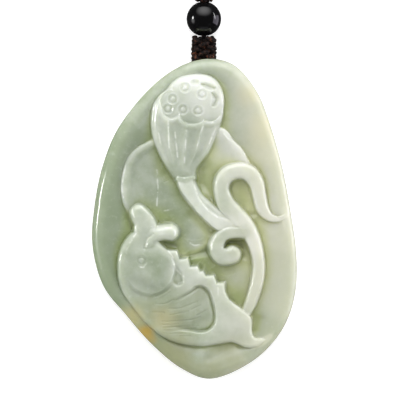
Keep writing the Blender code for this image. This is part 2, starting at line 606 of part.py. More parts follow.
def thread_route(top):
    """The thread's way down one slanting bore, round the bottom of the V and up the other."""
    half = HOLE_SPACING / 2
    bottom = STONE_HEIGHT / 2 - HOLE_DEPTH
    middle = (bottom + STONE_HEIGHT / 2) / 2
    side = [(half, top), (0.93 * half, STONE_HEIGHT / 2 - 0.6 * MM), (0.62 * half, middle)]
    left = [(HANG_X - x, y, CORD_LINE) for x, y in side]
    right = [(HANG_X + x, y, CORD_LINE) for x, y in reversed(side)]
    return left + [(HANG_X, bottom + THREAD_DIAMETER / 2, CORD_LINE)] + right


def make_stone(collection, cutters):
    """The carved stone with the V-shaped hole in its top edge."""
    blank = stone_blank(collection)
    triangles = sum(len(face.vertices) - 2 for face in blank.data.polygons)
    thin = blank.modifiers.new("fewer faces", "DECIMATE")
    thin.ratio = STONE_TRIANGLES / triangles
    stone = baked(blank, "jade_plaque", collection)
    flat = 0.08 * MM
    for vert in stone.data.vertices:
        if vert.co.z < flat:
            vert.co.z = 0.0

    bore = add_tube("cord_hole_curve", thread_route(STONE_HEIGHT / 2 + 2 * MM),
                    THREAD_DIAMETER + 2 * THREAD_CLEARANCE, cutters)
    cutter = baked(bore, "cord_hole", cutters)
    bm = bmesh.new()
    bm.from_mesh(cutter.data)
    bmesh.ops.remove_doubles(bm, verts=bm.verts, dist=0.001 * MM)
    bmesh.ops.recalc_face_normals(bm, faces=bm.faces)
    bm.to_mesh(cutter.data)
    bm.free()
    cutter.hide_render = True
    cutter.display_type = "WIRE"
    drill = stone.modifiers.new("cord hole", "BOOLEAN")
    drill.operation = "DIFFERENCE"
    drill.solver = "EXACT"
    drill.object = cutter
    stone.data.shade_smooth()
    add_material(stone, "jade", (0.62, 0.68, 0.55), 0.16)
    return stone


def add_turned(name, profile, collection):
    """A solid turned about the Y axis from a profile of radius and place along the axis."""
    mesh = bpy.data.meshes.new(name)
    points = [(radius, 0.0, along) for radius, along in profile]
    mesh.from_pydata(points, [(i, (i + 1) % len(points)) for i in range(len(points))], [])
    obj = add_object(name, mesh, collection)
    screw = obj.modifiers.new("turn", "SCREW")
    screw.steps = ROUND_SIDES
    screw.render_steps = ROUND_SIDES
    screw.use_merge_vertices = True
    screw.merge_threshold = 0.001 * MM
    screw.use_smooth_shade = True
    return obj


def make_bead(collection, centre_y):
    """The polished round bead, drilled through along the cord."""
    radius = BEAD_DIAMETER / 2
    bore = THREAD_DIAMETER / 2 + THREAD_CLEARANCE
    mouth = math.asin(bore / radius)
    arc = [mouth + (math.pi - 2 * mouth) * step / BEAD_STEPS for step in range(BEAD_STEPS + 1)]
    profile = [(radius * math.sin(a), radius * math.cos(a)) for a in arc]
    bead = add_turned("bead", profile, collection)
    bead.location = (HANG_X, centre_y, CORD_LINE)
    bead.rotation_euler.x = -math.pi / 2
    add_material(bead, "black_stone", (0.012, 0.012, 0.013), 0.06)


def make_knot(name, width, thickness, low_y, high_y, collection):
    """A knot of tight cord as a block with full round edges, lying along the cord's line."""
    bpy.ops.mesh.primitive_cube_add(size=1.0, location=(HANG_X, (low_y + high_y) / 2, CORD_LINE))
    knot = bpy.context.active_object
    knot.name = name
    knot.data.name = name
    knot.scale = (width, high_y - low_y, thickness)
    bpy.ops.object.transform_apply(location=False, rotation=False, scale=True)
    for owner in list(knot.users_collection):
        owner.objects.unlink(knot)
    collection.objects.link(knot)
    edge = knot.modifiers.new("round edges", "BEVEL")
    edge.width = 0.3 * thickness
    edge.segments = 3
    knot.data.shade_smooth()
    add_material(knot, name + "_cord", (0.035, 0.022, 0.018), 0.8)


def make_coil(collection, centre_y):
    """The outer shape of the necklace cord, wound up in a round coil on the floor."""
    inner = COIL_INNER_DIAMETER / 2
    outer = inner + COIL_COLUMNS * CORD_DIAMETER
    height = COIL_LAYERS * CORD_DIAMETER
    corner = 0.4 * CORD_DIAMETER
    profile = [(outer - corner, height), (outer, height - corner), (outer, corner), (outer - corner, 0.0),
               (inner + corner, 0.0), (inner, corner), (inner, height - corner), (inner + corner, height)]
    coil = add_turned("necklace_coil", profile, collection)
    coil.location = (HANG_X, centre_y, 0.0)
    add_material(coil, "coiled_cord", (0.035, 0.022, 0.018), 0.8)


def lead_route(side, knot_end, centre_y):
    """From the upper knot down to the floor and round to the coil's side, for side -1 or +1."""
    outer = COIL_INNER_DIAMETER / 2 + COIL_COLUMNS * CORD_DIAMETER
    turn_radius = outer - CORD_DIAMETER / 2
    reach = outer + CORD_DIAMETER / 2 + PIECE_GAP
    end_y = centre_y - math.sqrt(reach ** 2 - turn_radius ** 2)
    floor = CORD_DIAMETER / 2
    coil_level = floor if side < 0 else (COIL_LAYERS - 1) * CORD_DIAMETER
    span_x = turn_radius - 0.8 * MM
    span_y = end_y - knot_end
    steps = [(0.00, 0.00, CORD_LINE), (0.00, 0.10, 0.93 * CORD_LINE), (0.10, 0.28, 1.6 * MM),
             (0.32, 0.46, floor), (0.62, 0.64, floor + 0.10 * (coil_level - floor)),
             (0.88, 0.82, floor + 0.55 * (coil_level - floor)), (1.00, 1.00, coil_level)]
    return [(HANG_X + side * (0.8 * MM + x * span_x), knot_end + y * span_y, z) for x, y, z in steps]


def make_cord(collection):
    """The thread through stone and bead, both knots, the bead, and the necklace cord with its coil."""
    braid_low = STONE_HEIGHT / 2 + PIECE_GAP
    braid_high = braid_low + BRAID_LENGTH
    bead_y = braid_high + PIECE_GAP + BEAD_DIAMETER / 2
    bead_end = bead_y + BEAD_DIAMETER / 2
    knot_low = bead_end + PIECE_GAP
    knot_high = knot_low + UPPER_KNOT_LENGTH
    coil_y = knot_high + COIL_DISTANCE
    dark = (0.035, 0.022, 0.018)

    hanging = add_tube("hanging_thread", thread_route(braid_low - PIECE_GAP), THREAD_DIAMETER, collection)
    add_material(hanging, "hanging_thread_cord", dark, 0.8)
    make_knot("braided_knot", BRAID_WIDTH, 0.9 * BRAID_WIDTH, braid_low, braid_high, collection)
    make_bead(collection, bead_y)
    through = [(HANG_X, bead_y + side * BEAD_DIAMETER / 2, CORD_LINE) for side in (-1, 1)]
    inner = add_tube("bead_thread", through, THREAD_DIAMETER, collection)
    add_material(inner, "bead_thread_cord", dark, 0.8)
    make_knot("upper_knot", UPPER_KNOT_WIDTH, 0.9 * UPPER_KNOT_WIDTH, knot_low, knot_high, collection)
    for side, name in [(-1, "necklace_lead_left"), (1, "necklace_lead_right")]:
        route = lead_route(side, knot_high + PIECE_GAP, coil_y)
        lead = add_tube(name, route, CORD_DIAMETER, collection)
        add_material(lead, name + "_cord", dark, 0.8)
    make_coil(collection, coil_y)


def main():
    """Clear the scene and build the plaque with its cord."""
    for obj in list(bpy.data.objects):
        bpy.data.objects.remove(obj, do_unlink=True)
    plaque = bpy.data.collections.new("jade_plaque_on_cord")
    cutters = bpy.data.collections.new("cutters")
    bpy.context.scene.collection.children.link(plaque)
    bpy.context.scene.collection.children.link(cutters)
    make_stone(plaque, cutters)
    make_cord(plaque)


main()
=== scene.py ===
# %% [markdown]
# A jade plaque on its cord
#
# The object is a pendant. One pebble of pale green jade is carved in relief with a carp, a lotus leaf, a
# seed pod and a scrolling stem, and it hangs from a braided knot, a black bead and a neck cord. A loose
# plaque can't stand, so it lies on its flat back and the camera looks straight down on it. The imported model
# comes first, because every piece below takes its place from it.

# %% Load the frame
import math

import bmesh
import bpy
import numpy as np
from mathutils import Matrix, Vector


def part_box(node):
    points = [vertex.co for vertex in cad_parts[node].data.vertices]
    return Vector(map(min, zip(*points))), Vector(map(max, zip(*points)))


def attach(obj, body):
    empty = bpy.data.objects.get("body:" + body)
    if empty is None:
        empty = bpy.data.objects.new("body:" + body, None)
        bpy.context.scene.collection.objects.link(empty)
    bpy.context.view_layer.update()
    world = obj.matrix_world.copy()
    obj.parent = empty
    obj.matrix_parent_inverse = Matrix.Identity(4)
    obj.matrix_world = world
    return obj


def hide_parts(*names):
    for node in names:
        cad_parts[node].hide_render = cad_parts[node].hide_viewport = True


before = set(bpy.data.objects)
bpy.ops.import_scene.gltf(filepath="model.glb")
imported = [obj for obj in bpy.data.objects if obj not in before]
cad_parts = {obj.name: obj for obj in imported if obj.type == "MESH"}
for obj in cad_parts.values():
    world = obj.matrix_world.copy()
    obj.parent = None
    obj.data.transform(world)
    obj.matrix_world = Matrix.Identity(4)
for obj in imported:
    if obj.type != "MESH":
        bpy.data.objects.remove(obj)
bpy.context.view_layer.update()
print("nodes:", sorted(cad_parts))

# %% [markdown]
# The camera
#
# Carvings are photographed from far away with a long lens, so that near and far parts keep their true
# proportions. A real photographer would hang the plaque against a wall; here the camera hangs over it
# instead, which gives the same picture. The lens follows from the distance and from the width that the
# picture has to span at the height of the carving.

# %% Camera
MM = 0.001
PICTURE_WIDTH = 69.17 * MM
PICTURE_CENTRE = (0.99 * MM, 3.23 * MM)
CARVING_HEIGHT = 5.0 * MM
CAMERA_HEIGHT = 600 * MM
SENSOR_WIDTH = 36.0


def put_in_scene(name, data):
    """Make an object of mesh, light or camera data and link it to the scene."""
    obj = bpy.data.objects.new(name, data)
    bpy.context.scene.collection.objects.link(obj)
    return obj


camera_data = bpy.data.cameras.new("camera")
camera_data.sensor_width = SENSOR_WIDTH
camera_data.lens = SENSOR_WIDTH * (CAMERA_HEIGHT - CARVING_HEIGHT) / PICTURE_WIDTH
camera = put_in_scene("camera", camera_data)
camera.location = (*PICTURE_CENTRE, CAMERA_HEIGHT)
bpy.context.scene.camera = camera
print(f"lens {camera_data.lens:.0f} mm")

# %% [markdown]
# Sums in a material
#
# A procedural finish is mostly arithmetic on masks and noises. Adding each Math node by hand hides that
# arithmetic, so a small class wraps a socket: writing 1 - mask or mask * noise adds the nodes. Colours are
# mixed with Mix nodes, because a Math node would turn them grey.

# %% Sockets as numbers
# Where a Mix node keeps its factor, its two colours and its mixed colour
MIX_FACTOR, MIX_UNDER, MIX_OVER, MIXED_COLOUR = 0, 6, 7, 2


class Signal:
    """One output socket in a node tree, which can be added, multiplied and compared like a number."""

    def __init__(self, tree, socket):
        self.tree = tree
        self.socket = socket

    def math(self, operation, *values):
        """A Math node on these values."""
        return node(self.tree, "ShaderNodeMath", {"operation": operation}, dict(enumerate(values)))

    def __add__(self, other):
        return self.math("ADD", self, other)

    __radd__ = __add__

    def __mul__(self, other):
        return self.math("MULTIPLY", self, other)

    __rmul__ = __mul__

    def __sub__(self, other):
        return self.math("SUBTRACT", self, other)

    def __rsub__(self, other):
        return self.math("SUBTRACT", other, self)

    def __truediv__(self, other):
        return self.math("DIVIDE", self, other)


    def rise(self, low, high):
        """A smooth mask: 0 below low, 1 above high."""
        settings = {"interpolation_type": "SMOOTHSTEP"}
        inputs = {"Value": self, "From Min": low, "From Max": high}
        return node(self.tree, "ShaderNodeMapRange", settings, inputs)


def fill(tree, target, value):
    """Put a number, a colour or a Signal into an input socket."""
    if isinstance(value, Signal):
        tree.links.new(value.socket, target)
    elif target.type == "RGBA" and len(value) == 3:
        target.default_value = (*value, 1.0)
    else:
        target.default_value = value


def node(tree, kind, settings=None, inputs=None, output=0):
    """Add a node: its type, its settings, then its inputs by name or number. Hands back one output."""
    added = tree.nodes.new(kind)
    for name, value in (settings or {}).items():
        setattr(added, name, value)
    for name, value in (inputs or {}).items():
        fill(tree, added.inputs[name], value)
    return Signal(tree, added.outputs[output])


def blend(tree, mask, under, over, mode="MIX"):
    """Lay one colour over another, as strongly as the mask says."""
    settings = {"data_type": "RGBA", "blend_type": mode}
    inputs = {MIX_FACTOR: mask, MIX_UNDER: under, MIX_OVER: over}
    return node(tree, "ShaderNodeMix", settings, inputs, MIXED_COLOUR)


def noise(tree, place, scale, detail=2.0, roughness=0.5):
    """A cloudy pattern from 0 to 1, with so many clouds to the metre."""
    inputs = {"Vector": place, "Scale": scale, "Detail": detail, "Roughness": roughness}
    return node(tree, "ShaderNodeTexNoise", None, inputs)


print("a Signal takes", *"+-*/")

# %% [markdown]
# The set
#
# The floor is pale and matt. It isn't mirrored in the bead or the stone, as in a studio where the object
# hangs free, and it lies a hair below the object, so that the two never share a face. The room is dim in
# reflections, so that the bead stays black between the lights, and pale where the camera looks at it.

# %% Floor and room
FLOOR_SIZE = 6.0
FLOOR_LEVEL = -0.05 * MM
FLOOR_GLOW = 0.3
PALE = (0.93, 0.93, 0.93)
WHITE = (1.0, 1.0, 1.0)
ROOM_LIGHT = 0.45
MIRRORED_ROOM = 0.06


def plain_material(name, colour, roughness):
    """A Principled material with one colour."""
    material = bpy.data.materials.new(name)
    material.use_nodes = True
    shader = material.node_tree.nodes["Principled BSDF"]
    shader.inputs["Base Color"].default_value = (*colour, 1.0)
    shader.inputs["Roughness"].default_value = roughness
    return material


floor_mesh = bpy.data.meshes.new("floor")
half = FLOOR_SIZE / 2
corners = [(x * half, y * half, FLOOR_LEVEL) for x, y in [(-1, -1), (1, -1), (1, 1), (-1, 1)]]
floor_mesh.from_pydata(corners, [], [(0, 1, 2, 3)])
floor = put_in_scene("floor", floor_mesh)
floor.visible_glossy = False
pale_floor = plain_material("pale_floor", PALE, 0.9)
shader = pale_floor.node_tree.nodes["Principled BSDF"]
shader.inputs["Emission Color"].default_value = (*WHITE, 1.0)
shader.inputs["Emission Strength"].default_value = FLOOR_GLOW
floor_mesh.materials.append(pale_floor)

world = bpy.data.worlds.new("dim_room")
world.use_nodes = True
bpy.context.scene.world = world
room = world.node_tree
room.nodes["Background"].inputs["Color"].default_value = (*WHITE, 1.0)
room.nodes["Background"].inputs["Strength"].default_value = ROOM_LIGHT
seen = node(room, "ShaderNodeLightPath", output="Is Camera Ray")
pale = node(room, "ShaderNodeBackground", None, {"Color": PALE, "Strength": 1.0})
dim = Signal(room, room.nodes["Background"].outputs[0])
mirrored = node(room, "ShaderNodeLightPath", output="Is Glossy Ray")
dark = node(room, "ShaderNodeBackground", None, {"Color": WHITE, "Strength": MIRRORED_ROOM})
around = node(room, "ShaderNodeMixShader", None, {0: mirrored, 1: dim, 2: dark})
behind = node(room, "ShaderNodeMixShader", None, {0: seen, 1: around, 2: pale})
fill(room, room.nodes["World Output"].inputs["Surface"], behind)
bpy.context.scene.view_settings.view_transform = "Standard"
print("floor and room ready")

# %% [markdown]
# The lights
#
# Polished stone shows its lights as reflections, so the lights decide how the carving reads. One very large
# soft light behind the plaque's top edge gives the even light and the big oval in the bead. A small lamp
# low on the left draws the thin bright line along the left rim, with a weak, wide glow round it. On the
# right a narrow strip draws the line along that rim, and a pale violet window shows in the bead. A faint
# fill from below and a panel overhead open the shadows. Only the panel isn't mirrored.

# %% Lights
LAMP_DISTANCE = 0.7
LIT_PLACE = Vector((1 * MM, 3 * MM, 5 * MM))


def softbox(name, turn, tilt, width, height, brightness, colour=(1.0, 1.0, 1.0), edge=0.6, shape="ELLIPSE"):
    """A light that faces the stone, turned round from the top edge and tilted from overhead.

    Its brightness is that of its middle, where 1 is white paper in full light, and an elliptic one fades from
    the given share of its radius outwards. Width and height are the angles that it fills, in degrees."""
    turn, tilt = math.radians(turn), math.radians(tilt)
    towards = Vector((math.sin(turn) * math.sin(tilt), math.cos(turn) * math.sin(tilt), math.cos(tilt)))
    data = bpy.data.lights.new(name, "AREA")
    data.shape = shape
    data.size = 2 * LAMP_DISTANCE * math.tan(math.radians(width / 2))
    data.size_y = 2 * LAMP_DISTANCE * math.tan(math.radians(height / 2))
    data.energy = brightness * math.pi * (math.pi / 4 * data.size * data.size_y)
    data.color = colour
    data.use_nodes = True
    tree = data.node_tree
    spot = node(tree, "ShaderNodeNewGeometry", output="Parametric")
    centred = node(tree, "ShaderNodeVectorMath", {"operation": "SUBTRACT"}, {0: spot, 1: (0.5, 0.5, 0.0)})
    flat = node(tree, "ShaderNodeVectorMath", {"operation": "MULTIPLY"}, {0: centred, 1: (2.0, 2.0, 0.0)})
    away = node(tree, "ShaderNodeVectorMath", {"operation": "LENGTH"}, {0: flat}, output="Value")
    if shape == "ELLIPSE":
        fill(tree, tree.nodes["Emission"].inputs["Strength"], 1 - away.rise(edge, 1.0))
    lamp = put_in_scene(name, data)
    lamp.location = LIT_PLACE + LAMP_DISTANCE * towards
    lamp.rotation_euler = (-towards).to_track_quat("-Z", "Y").to_euler()
    return lamp


lamps = [softbox("big_softbox", 0, 59, 100, 92, 2.9, edge=0.0),
         softbox("left_lamp", -82, 79, 18, 12, 26.0, edge=0.5),
         softbox("left_glow", -97, 80, 40, 40, 2.2, edge=0.1),
         softbox("right_strip", 72, 80, 44, 7, 11.5, edge=0.5),
         softbox("right_window", 92, 92, 40, 50, 2.3, colour=(0.90, 0.86, 1.0), shape="RECTANGLE"),
         softbox("low_fill", 180, 66, 70, 30, 0.25, colour=(0.92, 0.96, 1.0), edge=0.3)]
overhead = softbox("overhead_panel", 0, 0, 110, 110, 0.85, edge=0.5)
overhead.visible_glossy = False
lamps.append(overhead)
print("lamps:", [lamp.name for lamp in lamps])

# %% [markdown]
# The neck cord's route
#
# The neck cord is a loop of dark braided cord, 1.5 mm thick and about 0.64 m long, that passes over the
# head. The picture shows only where it starts, so the rest is put away as a neat round coil just outside
# the view. It leaves the upper knot, comes down to the floor, winds inwards and outwards in four layers of
# turns, and comes back to the knot. Each layer's turns lie one cord's width beside each other, and the
# route is worked out by a loop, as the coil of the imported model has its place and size.

# %% Route of the neck cord
CORD_DIAMETER = 1.5 * MM
LEAD_SPREAD = 0.8 * MM
COIL_LAYERS = 4
COIL_TURNS = 11.5
STEPS_PER_TURN = 80
COIL_INNER, COIL_OUTER = 6.0 * MM, 10.5 * MM

knot_low, knot_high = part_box("upper_knot")
coil_low, coil_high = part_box("necklace_coil")
HANG_X = (knot_low[0] + knot_high[0]) / 2
CORD_LINE = (knot_low[2] + knot_high[2]) / 2
COIL_Y = (coil_low[1] + coil_high[1]) / 2


def catmull_rom(points, steps, closed):
    """Values along a smooth curve through the given points, whatever number of values each has."""
    p = np.array(points, dtype=float)
    if closed:
        p = np.vstack([p[-1], p, p[0], p[1]])
    else:
        p = np.vstack([2 * p[0] - p[1], p, 2 * p[-1] - p[-2]])
    curve = []
    for a, b, c, d in zip(p[:-3], p[1:-2], p[2:-1], p[3:]):
        for t in np.arange(steps) / steps:
            curve.append(0.5 * (2 * b + (c - a) * t + (2 * a - 5 * b + 4 * c - d) * t ** 2
                                + (3 * b - a - 3 * c + d) * t ** 3))
    if not closed:
        curve.append(p[-2])
    return np.array(curve)


def smooth_step(t):
    """A smooth rise from 0 to 1 as t goes from 0 to 1."""
    t = np.clip(t, 0.0, 1.0)
    return t * t * (3 - 2 * t)


def lead_route(side):
    """From inside the upper knot down to the floor and up to the coil's side, for side -1 or +1."""
    start_y = knot_high[1] - 0.4 * MM
    end_y = COIL_Y - 6.4 * MM
    floor_level = CORD_DIAMETER / 2
    coil_level = floor_level if side < 0 else (COIL_LAYERS - 1) * CORD_DIAMETER
    steps = [(0.00, 0.00, CORD_LINE), (0.00, 0.12, 0.93 * CORD_LINE), (0.10, 0.29, 1.6 * MM),
             (0.32, 0.46, floor_level), (0.62, 0.64, floor_level + 0.10 * (coil_level - floor_level)),
             (0.88, 0.82, floor_level + 0.55 * (coil_level - floor_level)), (1.00, 1.00, coil_level)]
    span = COIL_OUTER - LEAD_SPREAD
    return [(HANG_X + side * (LEAD_SPREAD + x * span), start_y + y * (end_y - start_y), z)
            for x, y, z in steps]


def coil_route():
    """The coil's turns, clockwise from its left side: in along one layer and out along the next."""
    points = []
    per_layer = COIL_TURNS / COIL_LAYERS
    count = round(COIL_TURNS * STEPS_PER_TURN)
    for i in range(count + 1):
        turns = COIL_TURNS * i / count
        layer = min(int(turns / per_layer), COIL_LAYERS - 1)
        share = turns / per_layer - layer
        inwards = share if layer % 2 == 0 else 1 - share
        radius = COIL_OUTER + (COIL_INNER - COIL_OUTER) * inwards
        climb = smooth_step((share - 0.5) * per_layer / 0.3 + 0.5 - (0.5 * per_layer - 0.15) / 0.3)
        top = 1 if layer < COIL_LAYERS - 1 else 0
        level = (layer + 0.5 + top * float(climb)) * CORD_DIAMETER
        angle = math.pi - 2 * math.pi * turns
        points.append((HANG_X + radius * math.cos(angle), COIL_Y + radius * math.sin(angle), level))
    return points


def evened(route, step):
    """The same route with its points spaced evenly."""
    route = np.array(route)
    along = np.concatenate([[0.0], np.cumsum(np.linalg.norm(np.diff(route, axis=0), axis=1))])
    places = np.linspace(0.0, along[-1], round(along[-1] / step) + 1)
    return np.stack([np.interp(places, along, route[:, axis]) for axis in range(3)], axis=1), along[-1]


coil = coil_route()
outward = catmull_rom(lead_route(-1) + [coil[0]], 12, closed=False)[:-1]
homeward = catmull_rom([coil[-1]] + lead_route(1)[::-1], 12, closed=False)[1:]
neck_route, neck_length = evened(np.vstack([outward, coil, homeward]), 0.3 * MM)
print(f"neck cord {1000 * neck_length:.0f} mm, {len(neck_route)} rings")

# %% [markdown]
# Braided cord
#
# Eight fine threads are braided into a round cord: half of them wind one way and half the other, so its
# surface is a net of small pillows with grooves between them. A curve object can only give a smooth tube.
# Here a ring of points is carried along the route and each point is pushed in or out by the pillow that it
# lies on, which keeps the cord one closed mesh.

# %% Mesh of a braided cord
CORD_SIDES = 16
PILLOW_LENGTH = 1.25 * MM
PILLOW_DEPTH = 0.16


def route_frames(route):
    """The direction of a route at each point, and two directions across it that never twist suddenly."""
    along = np.gradient(route, axis=0)
    along /= np.linalg.norm(along, axis=1)[:, None]
    side = np.cross(along[0], (0.0, 0.0, 1.0))
    if np.linalg.norm(side) < 0.1:
        side = np.cross(along[0], (1.0, 0.0, 0.0))
    sides = []
    for direction in along:
        side = side - direction * (side @ direction)
        side /= np.linalg.norm(side)
        sides.append(side)
    sides = np.array(sides)
    return along, sides, np.cross(along, sides)


def turned_outwards(mesh):
    """Make all the faces of a closed mesh face outwards."""
    bm = bmesh.new()
    bm.from_mesh(mesh)
    bmesh.ops.recalc_face_normals(bm, faces=bm.faces)
    bm.to_mesh(mesh)
    bm.free()


def surface_mesh(name, rings, closed=False):
    """A closed mesh skinned over rings of points, each ring closed, with flat ends or joined ends."""
    count, around = rings.shape[:2]
    numbers = np.arange(count * around).reshape(count, around)
    first, second = (numbers, np.roll(numbers, -1, axis=0)) if closed else (numbers[:-1], numbers[1:])
    quads = np.stack([first, np.roll(first, -1, axis=1), np.roll(second, -1, axis=1), second], axis=-1)
    faces = quads.reshape(-1, 4).tolist()
    if not closed:
        faces += [numbers[0][::-1].tolist(), numbers[-1].tolist()]
    mesh = bpy.data.meshes.new(name)
    mesh.from_pydata(rings.reshape(-1, 3).tolist(), [], faces)
    turned_outwards(mesh)
    mesh.shade_smooth()
    return mesh


def braided_tube(name, route, diameter, sides=CORD_SIDES, pillow=PILLOW_LENGTH, depth=PILLOW_DEPTH):
    """A cord of this diameter along an evenly spaced route, its surface braided in pillows."""
    route = np.array(route)
    along, side, up = route_frames(route)
    step = np.linalg.norm(np.diff(route, axis=0), axis=1).mean()
    turn = 2 * math.pi * np.arange(sides) / sides
    place = (math.pi / pillow * step * np.arange(len(route)))[:, None]
    pillows = np.sqrt(np.abs(np.cos(2 * turn + place) * np.cos(2 * turn - place)))
    radius = diameter / 2 * (1 - depth * (1 - pillows))
    rings = (route[:, None] + (radius * np.cos(turn))[..., None] * side[:, None]
             + (radius * np.sin(turn))[..., None] * up[:, None])
    return surface_mesh(name, rings)


neck_cord = put_in_scene("neck_cord", braided_tube("neck_cord", neck_route, CORD_DIAMETER))
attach(neck_cord, "root")
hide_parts("necklace_lead_left", "necklace_lead_right", "necklace_coil")
print("neck cord faces:", len(neck_cord.data.polygons))

# %% [markdown]
# Cord fibres
#
# The cord is waxed and nearly black, with brown threads, and reddish brown is painted in patches as sheen
# where light would catch its threads. Its colour comes from a fine noise for the single fibres and a slower
# one for the patches of painted sheen, and a light bump keeps it from looking moulded. The fibres shine a
# little, so the roughness changes with them too.

# %% Finish of the cord
CORD_DARK = (0.004, 0.003, 0.003)
CORD_BROWN = (0.032, 0.015, 0.011)
# The reddish brown of the painted sheen on the threads
CORD_SHEEN_RED = (0.14, 0.046, 0.022)
FIBRES_PER_METRE = 2600
SHEEN_PATCHES_PER_METRE = 900


def cord_material(name):
    """Dark waxed cord with brown fibres and patches of reddish painted sheen."""
    material = plain_material(name, CORD_DARK, 0.6)
    tree = material.node_tree
    shader = tree.nodes["Principled BSDF"]
    shader.inputs["Specular IOR Level"].default_value = 0.14
    place = node(tree, "ShaderNodeTexCoord", output="Object")
    fibres = noise(tree, place, FIBRES_PER_METRE, detail=3, roughness=0.6)
    glint_patches = noise(tree, place, SHEEN_PATCHES_PER_METRE, detail=2)
    colour = blend(tree, fibres.rise(0.46, 0.66), CORD_DARK, CORD_BROWN)
    # Painted sheen: reddish brown patches on the fibres where light would catch them
    colour = blend(tree, glint_patches.rise(0.50, 0.68) * fibres.rise(0.48, 0.60), colour, CORD_SHEEN_RED)
    fill(tree, shader.inputs["Base Color"], colour)
    fill(tree, shader.inputs["Roughness"], 0.72 - 0.25 * fibres)
    bump = node(tree, "ShaderNodeBump", None, {"Height": fibres, "Strength": 0.5, "Distance": 0.08 * MM})
    fill(tree, shader.inputs["Normal"], bump)
    return material


waxed_cord = cord_material("waxed_cord")
neck_cord.data.materials.append(waxed_cord)
print("cord finish:", waxed_cord.name)

# %% [markdown]
# Knots and threads
#
# Between the stone and the bead stands a short square knot, and a smaller one sits above the bead. Each is
# plaited tightly from fine strands round a core: half of them wind to the left and half to the right, and
# wherever two meet, one passes over and the other under. That rhythm is one cosine, so all the strands come
# from a loop. The strands are uneven, as hand-tied ones are.

# %% Plaited knots
STRAND_STEP = 0.12 * MM
HANDED_STRANDS = 5
STRAND_UNEVENNESS = 0.06 * MM
STONE_TOP = 27.65 * MM


def squared(wave):
    """A sine wave with fuller shoulders, for a knot with rounded corners."""
    return math.copysign(abs(wave) ** 0.65, wave)


def plait_strand(which, low_y, high_y, half_width, half_depth, strand, pitch):
    """One strand of the plait: its way round the knot, over and under the others."""
    hand = 1 if which < HANDED_STRANDS else -1
    start = 2 * math.pi * (which % HANDED_STRANDS) / HANDED_STRANDS
    swell = 0.40 * strand
    points = []
    for y in np.arange(low_y, high_y, 0.1 * MM):
        t = 2 * math.pi * (y - low_y) / pitch
        turn = hand * t + start
        over = hand * swell * math.cos(HANDED_STRANDS * t)
        wobble = STRAND_UNEVENNESS * (math.sin(5.3 * t + 2.1 * which) + math.sin(11.7 * t + 4.4 * which))
        reach_x = half_width - strand / 2 + over + wobble
        reach_z = half_depth - strand / 2 + over - wobble
        points.append((HANG_X + reach_x * squared(math.sin(turn)), y + wobble,
                       CORD_LINE + reach_z * squared(math.cos(turn))))
    return evened(points, STRAND_STEP)[0]


def joined_piece(name, meshes):
    """Several closed meshes put together as one named piece."""
    bm = bmesh.new()
    for mesh in meshes:
        bm.from_mesh(mesh)
        bpy.data.meshes.remove(mesh)
    mesh = bpy.data.meshes.new(name)
    bm.to_mesh(mesh)
    bm.free()
    mesh.shade_smooth()
    return put_in_scene(name, mesh)


def plaited_knot(name, replaced, low_y, high_y, half_width, half_depth, strand, pitch):
    """A knot of many plaited strands round a core, in the place of a packed one."""
    middle = [(HANG_X, y, CORD_LINE) for y in np.arange(low_y + 0.3 * MM, high_y - 0.3 * MM, 0.2 * MM)]
    strands = [braided_tube(f"{name}_core", middle, 2 * half_depth - 1.2 * strand, sides=16)]
    for which in range(2 * HANDED_STRANDS):
        route = plait_strand(which, low_y, high_y, half_width, half_depth, strand, pitch)
        strands.append(braided_tube(f"{name}_{which}", route, strand, sides=10, pillow=0.5 * MM, depth=0.3))
    knot = joined_piece(name, strands)
    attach(knot, "root")
    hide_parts(replaced)
    knot.data.materials.append(waxed_cord)
    return knot


braid_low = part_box("braided_knot")[0]
bead_low, bead_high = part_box("bead")
lower_knot = plaited_knot("plaited_knot", "braided_knot", STONE_TOP - 0.5 * MM, bead_low[1] - 0.35 * MM,
                          1.95 * MM, 1.7 * MM, 0.85 * MM, 7.5 * MM)
top_knot = plaited_knot("top_knot", "upper_knot", bead_high[1] + 0.25 * MM, knot_high[1],
                        1.35 * MM, 1.25 * MM, 0.62 * MM, 5.5 * MM)
print("knots:", len(lower_knot.data.polygons), len(top_knot.data.polygons))

# %% [markdown]
# Threads through stone and bead
#
# The two thread ends come out of the stone's V-shaped hole, run up inside the knot and pass the bead
# together. They are the same braided cord, a millimetre thick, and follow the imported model's bores.

# %% Threads
THREAD_DIAMETER = 1.0 * MM
HOLE_DEPTH = 4.2 * MM
HOLE_SPACING = 3.0 * MM


def hanging_route():
    """Down one slanting bore, round the bottom of the V and up the other."""
    half = HOLE_SPACING / 2
    bottom = STONE_TOP - HOLE_DEPTH
    middle = (bottom + STONE_TOP) / 2
    side = [(half, STONE_TOP), (0.93 * half, STONE_TOP - 0.6 * MM), (0.62 * half, middle)]
    left = [(HANG_X - x, y, CORD_LINE) for x, y in side]
    right = [(HANG_X + x, y, CORD_LINE) for x, y in reversed(side)]
    return left + [(HANG_X, bottom + THREAD_DIAMETER / 2, CORD_LINE)] + right


hanging_line = evened(catmull_rom(hanging_route(), 12, closed=False), 0.15 * MM)[0]
core_ends = [(HANG_X, braid_low[1] + MM, CORD_LINE), (HANG_X, knot_high[1] - MM, CORD_LINE)]
core_line = evened(core_ends, 0.15 * MM)[0]
for name, replaced, line in [("hanging_loop", "hanging_thread", hanging_line),
                             ("bead_core", "bead_thread", core_line)]:
    thread = put_in_scene(name, braided_tube(name, line, THREAD_DIAMETER, sides=12, pillow=0.8 * MM))
    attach(thread, "root")
    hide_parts(replaced)
    thread.data.materials.append(waxed_cord)
    print(name, len(thread.data.polygons), "faces")

# %% [markdown]
# The bead
#
# A polished ball of black stone, drilled along the cord. Its outline turns once about the bore, with a
# small chamfer at each mouth where the drill came out. Polished black stone is a dark base with a clear,
# very smooth surface, and its faint scratches only show in the roughness.

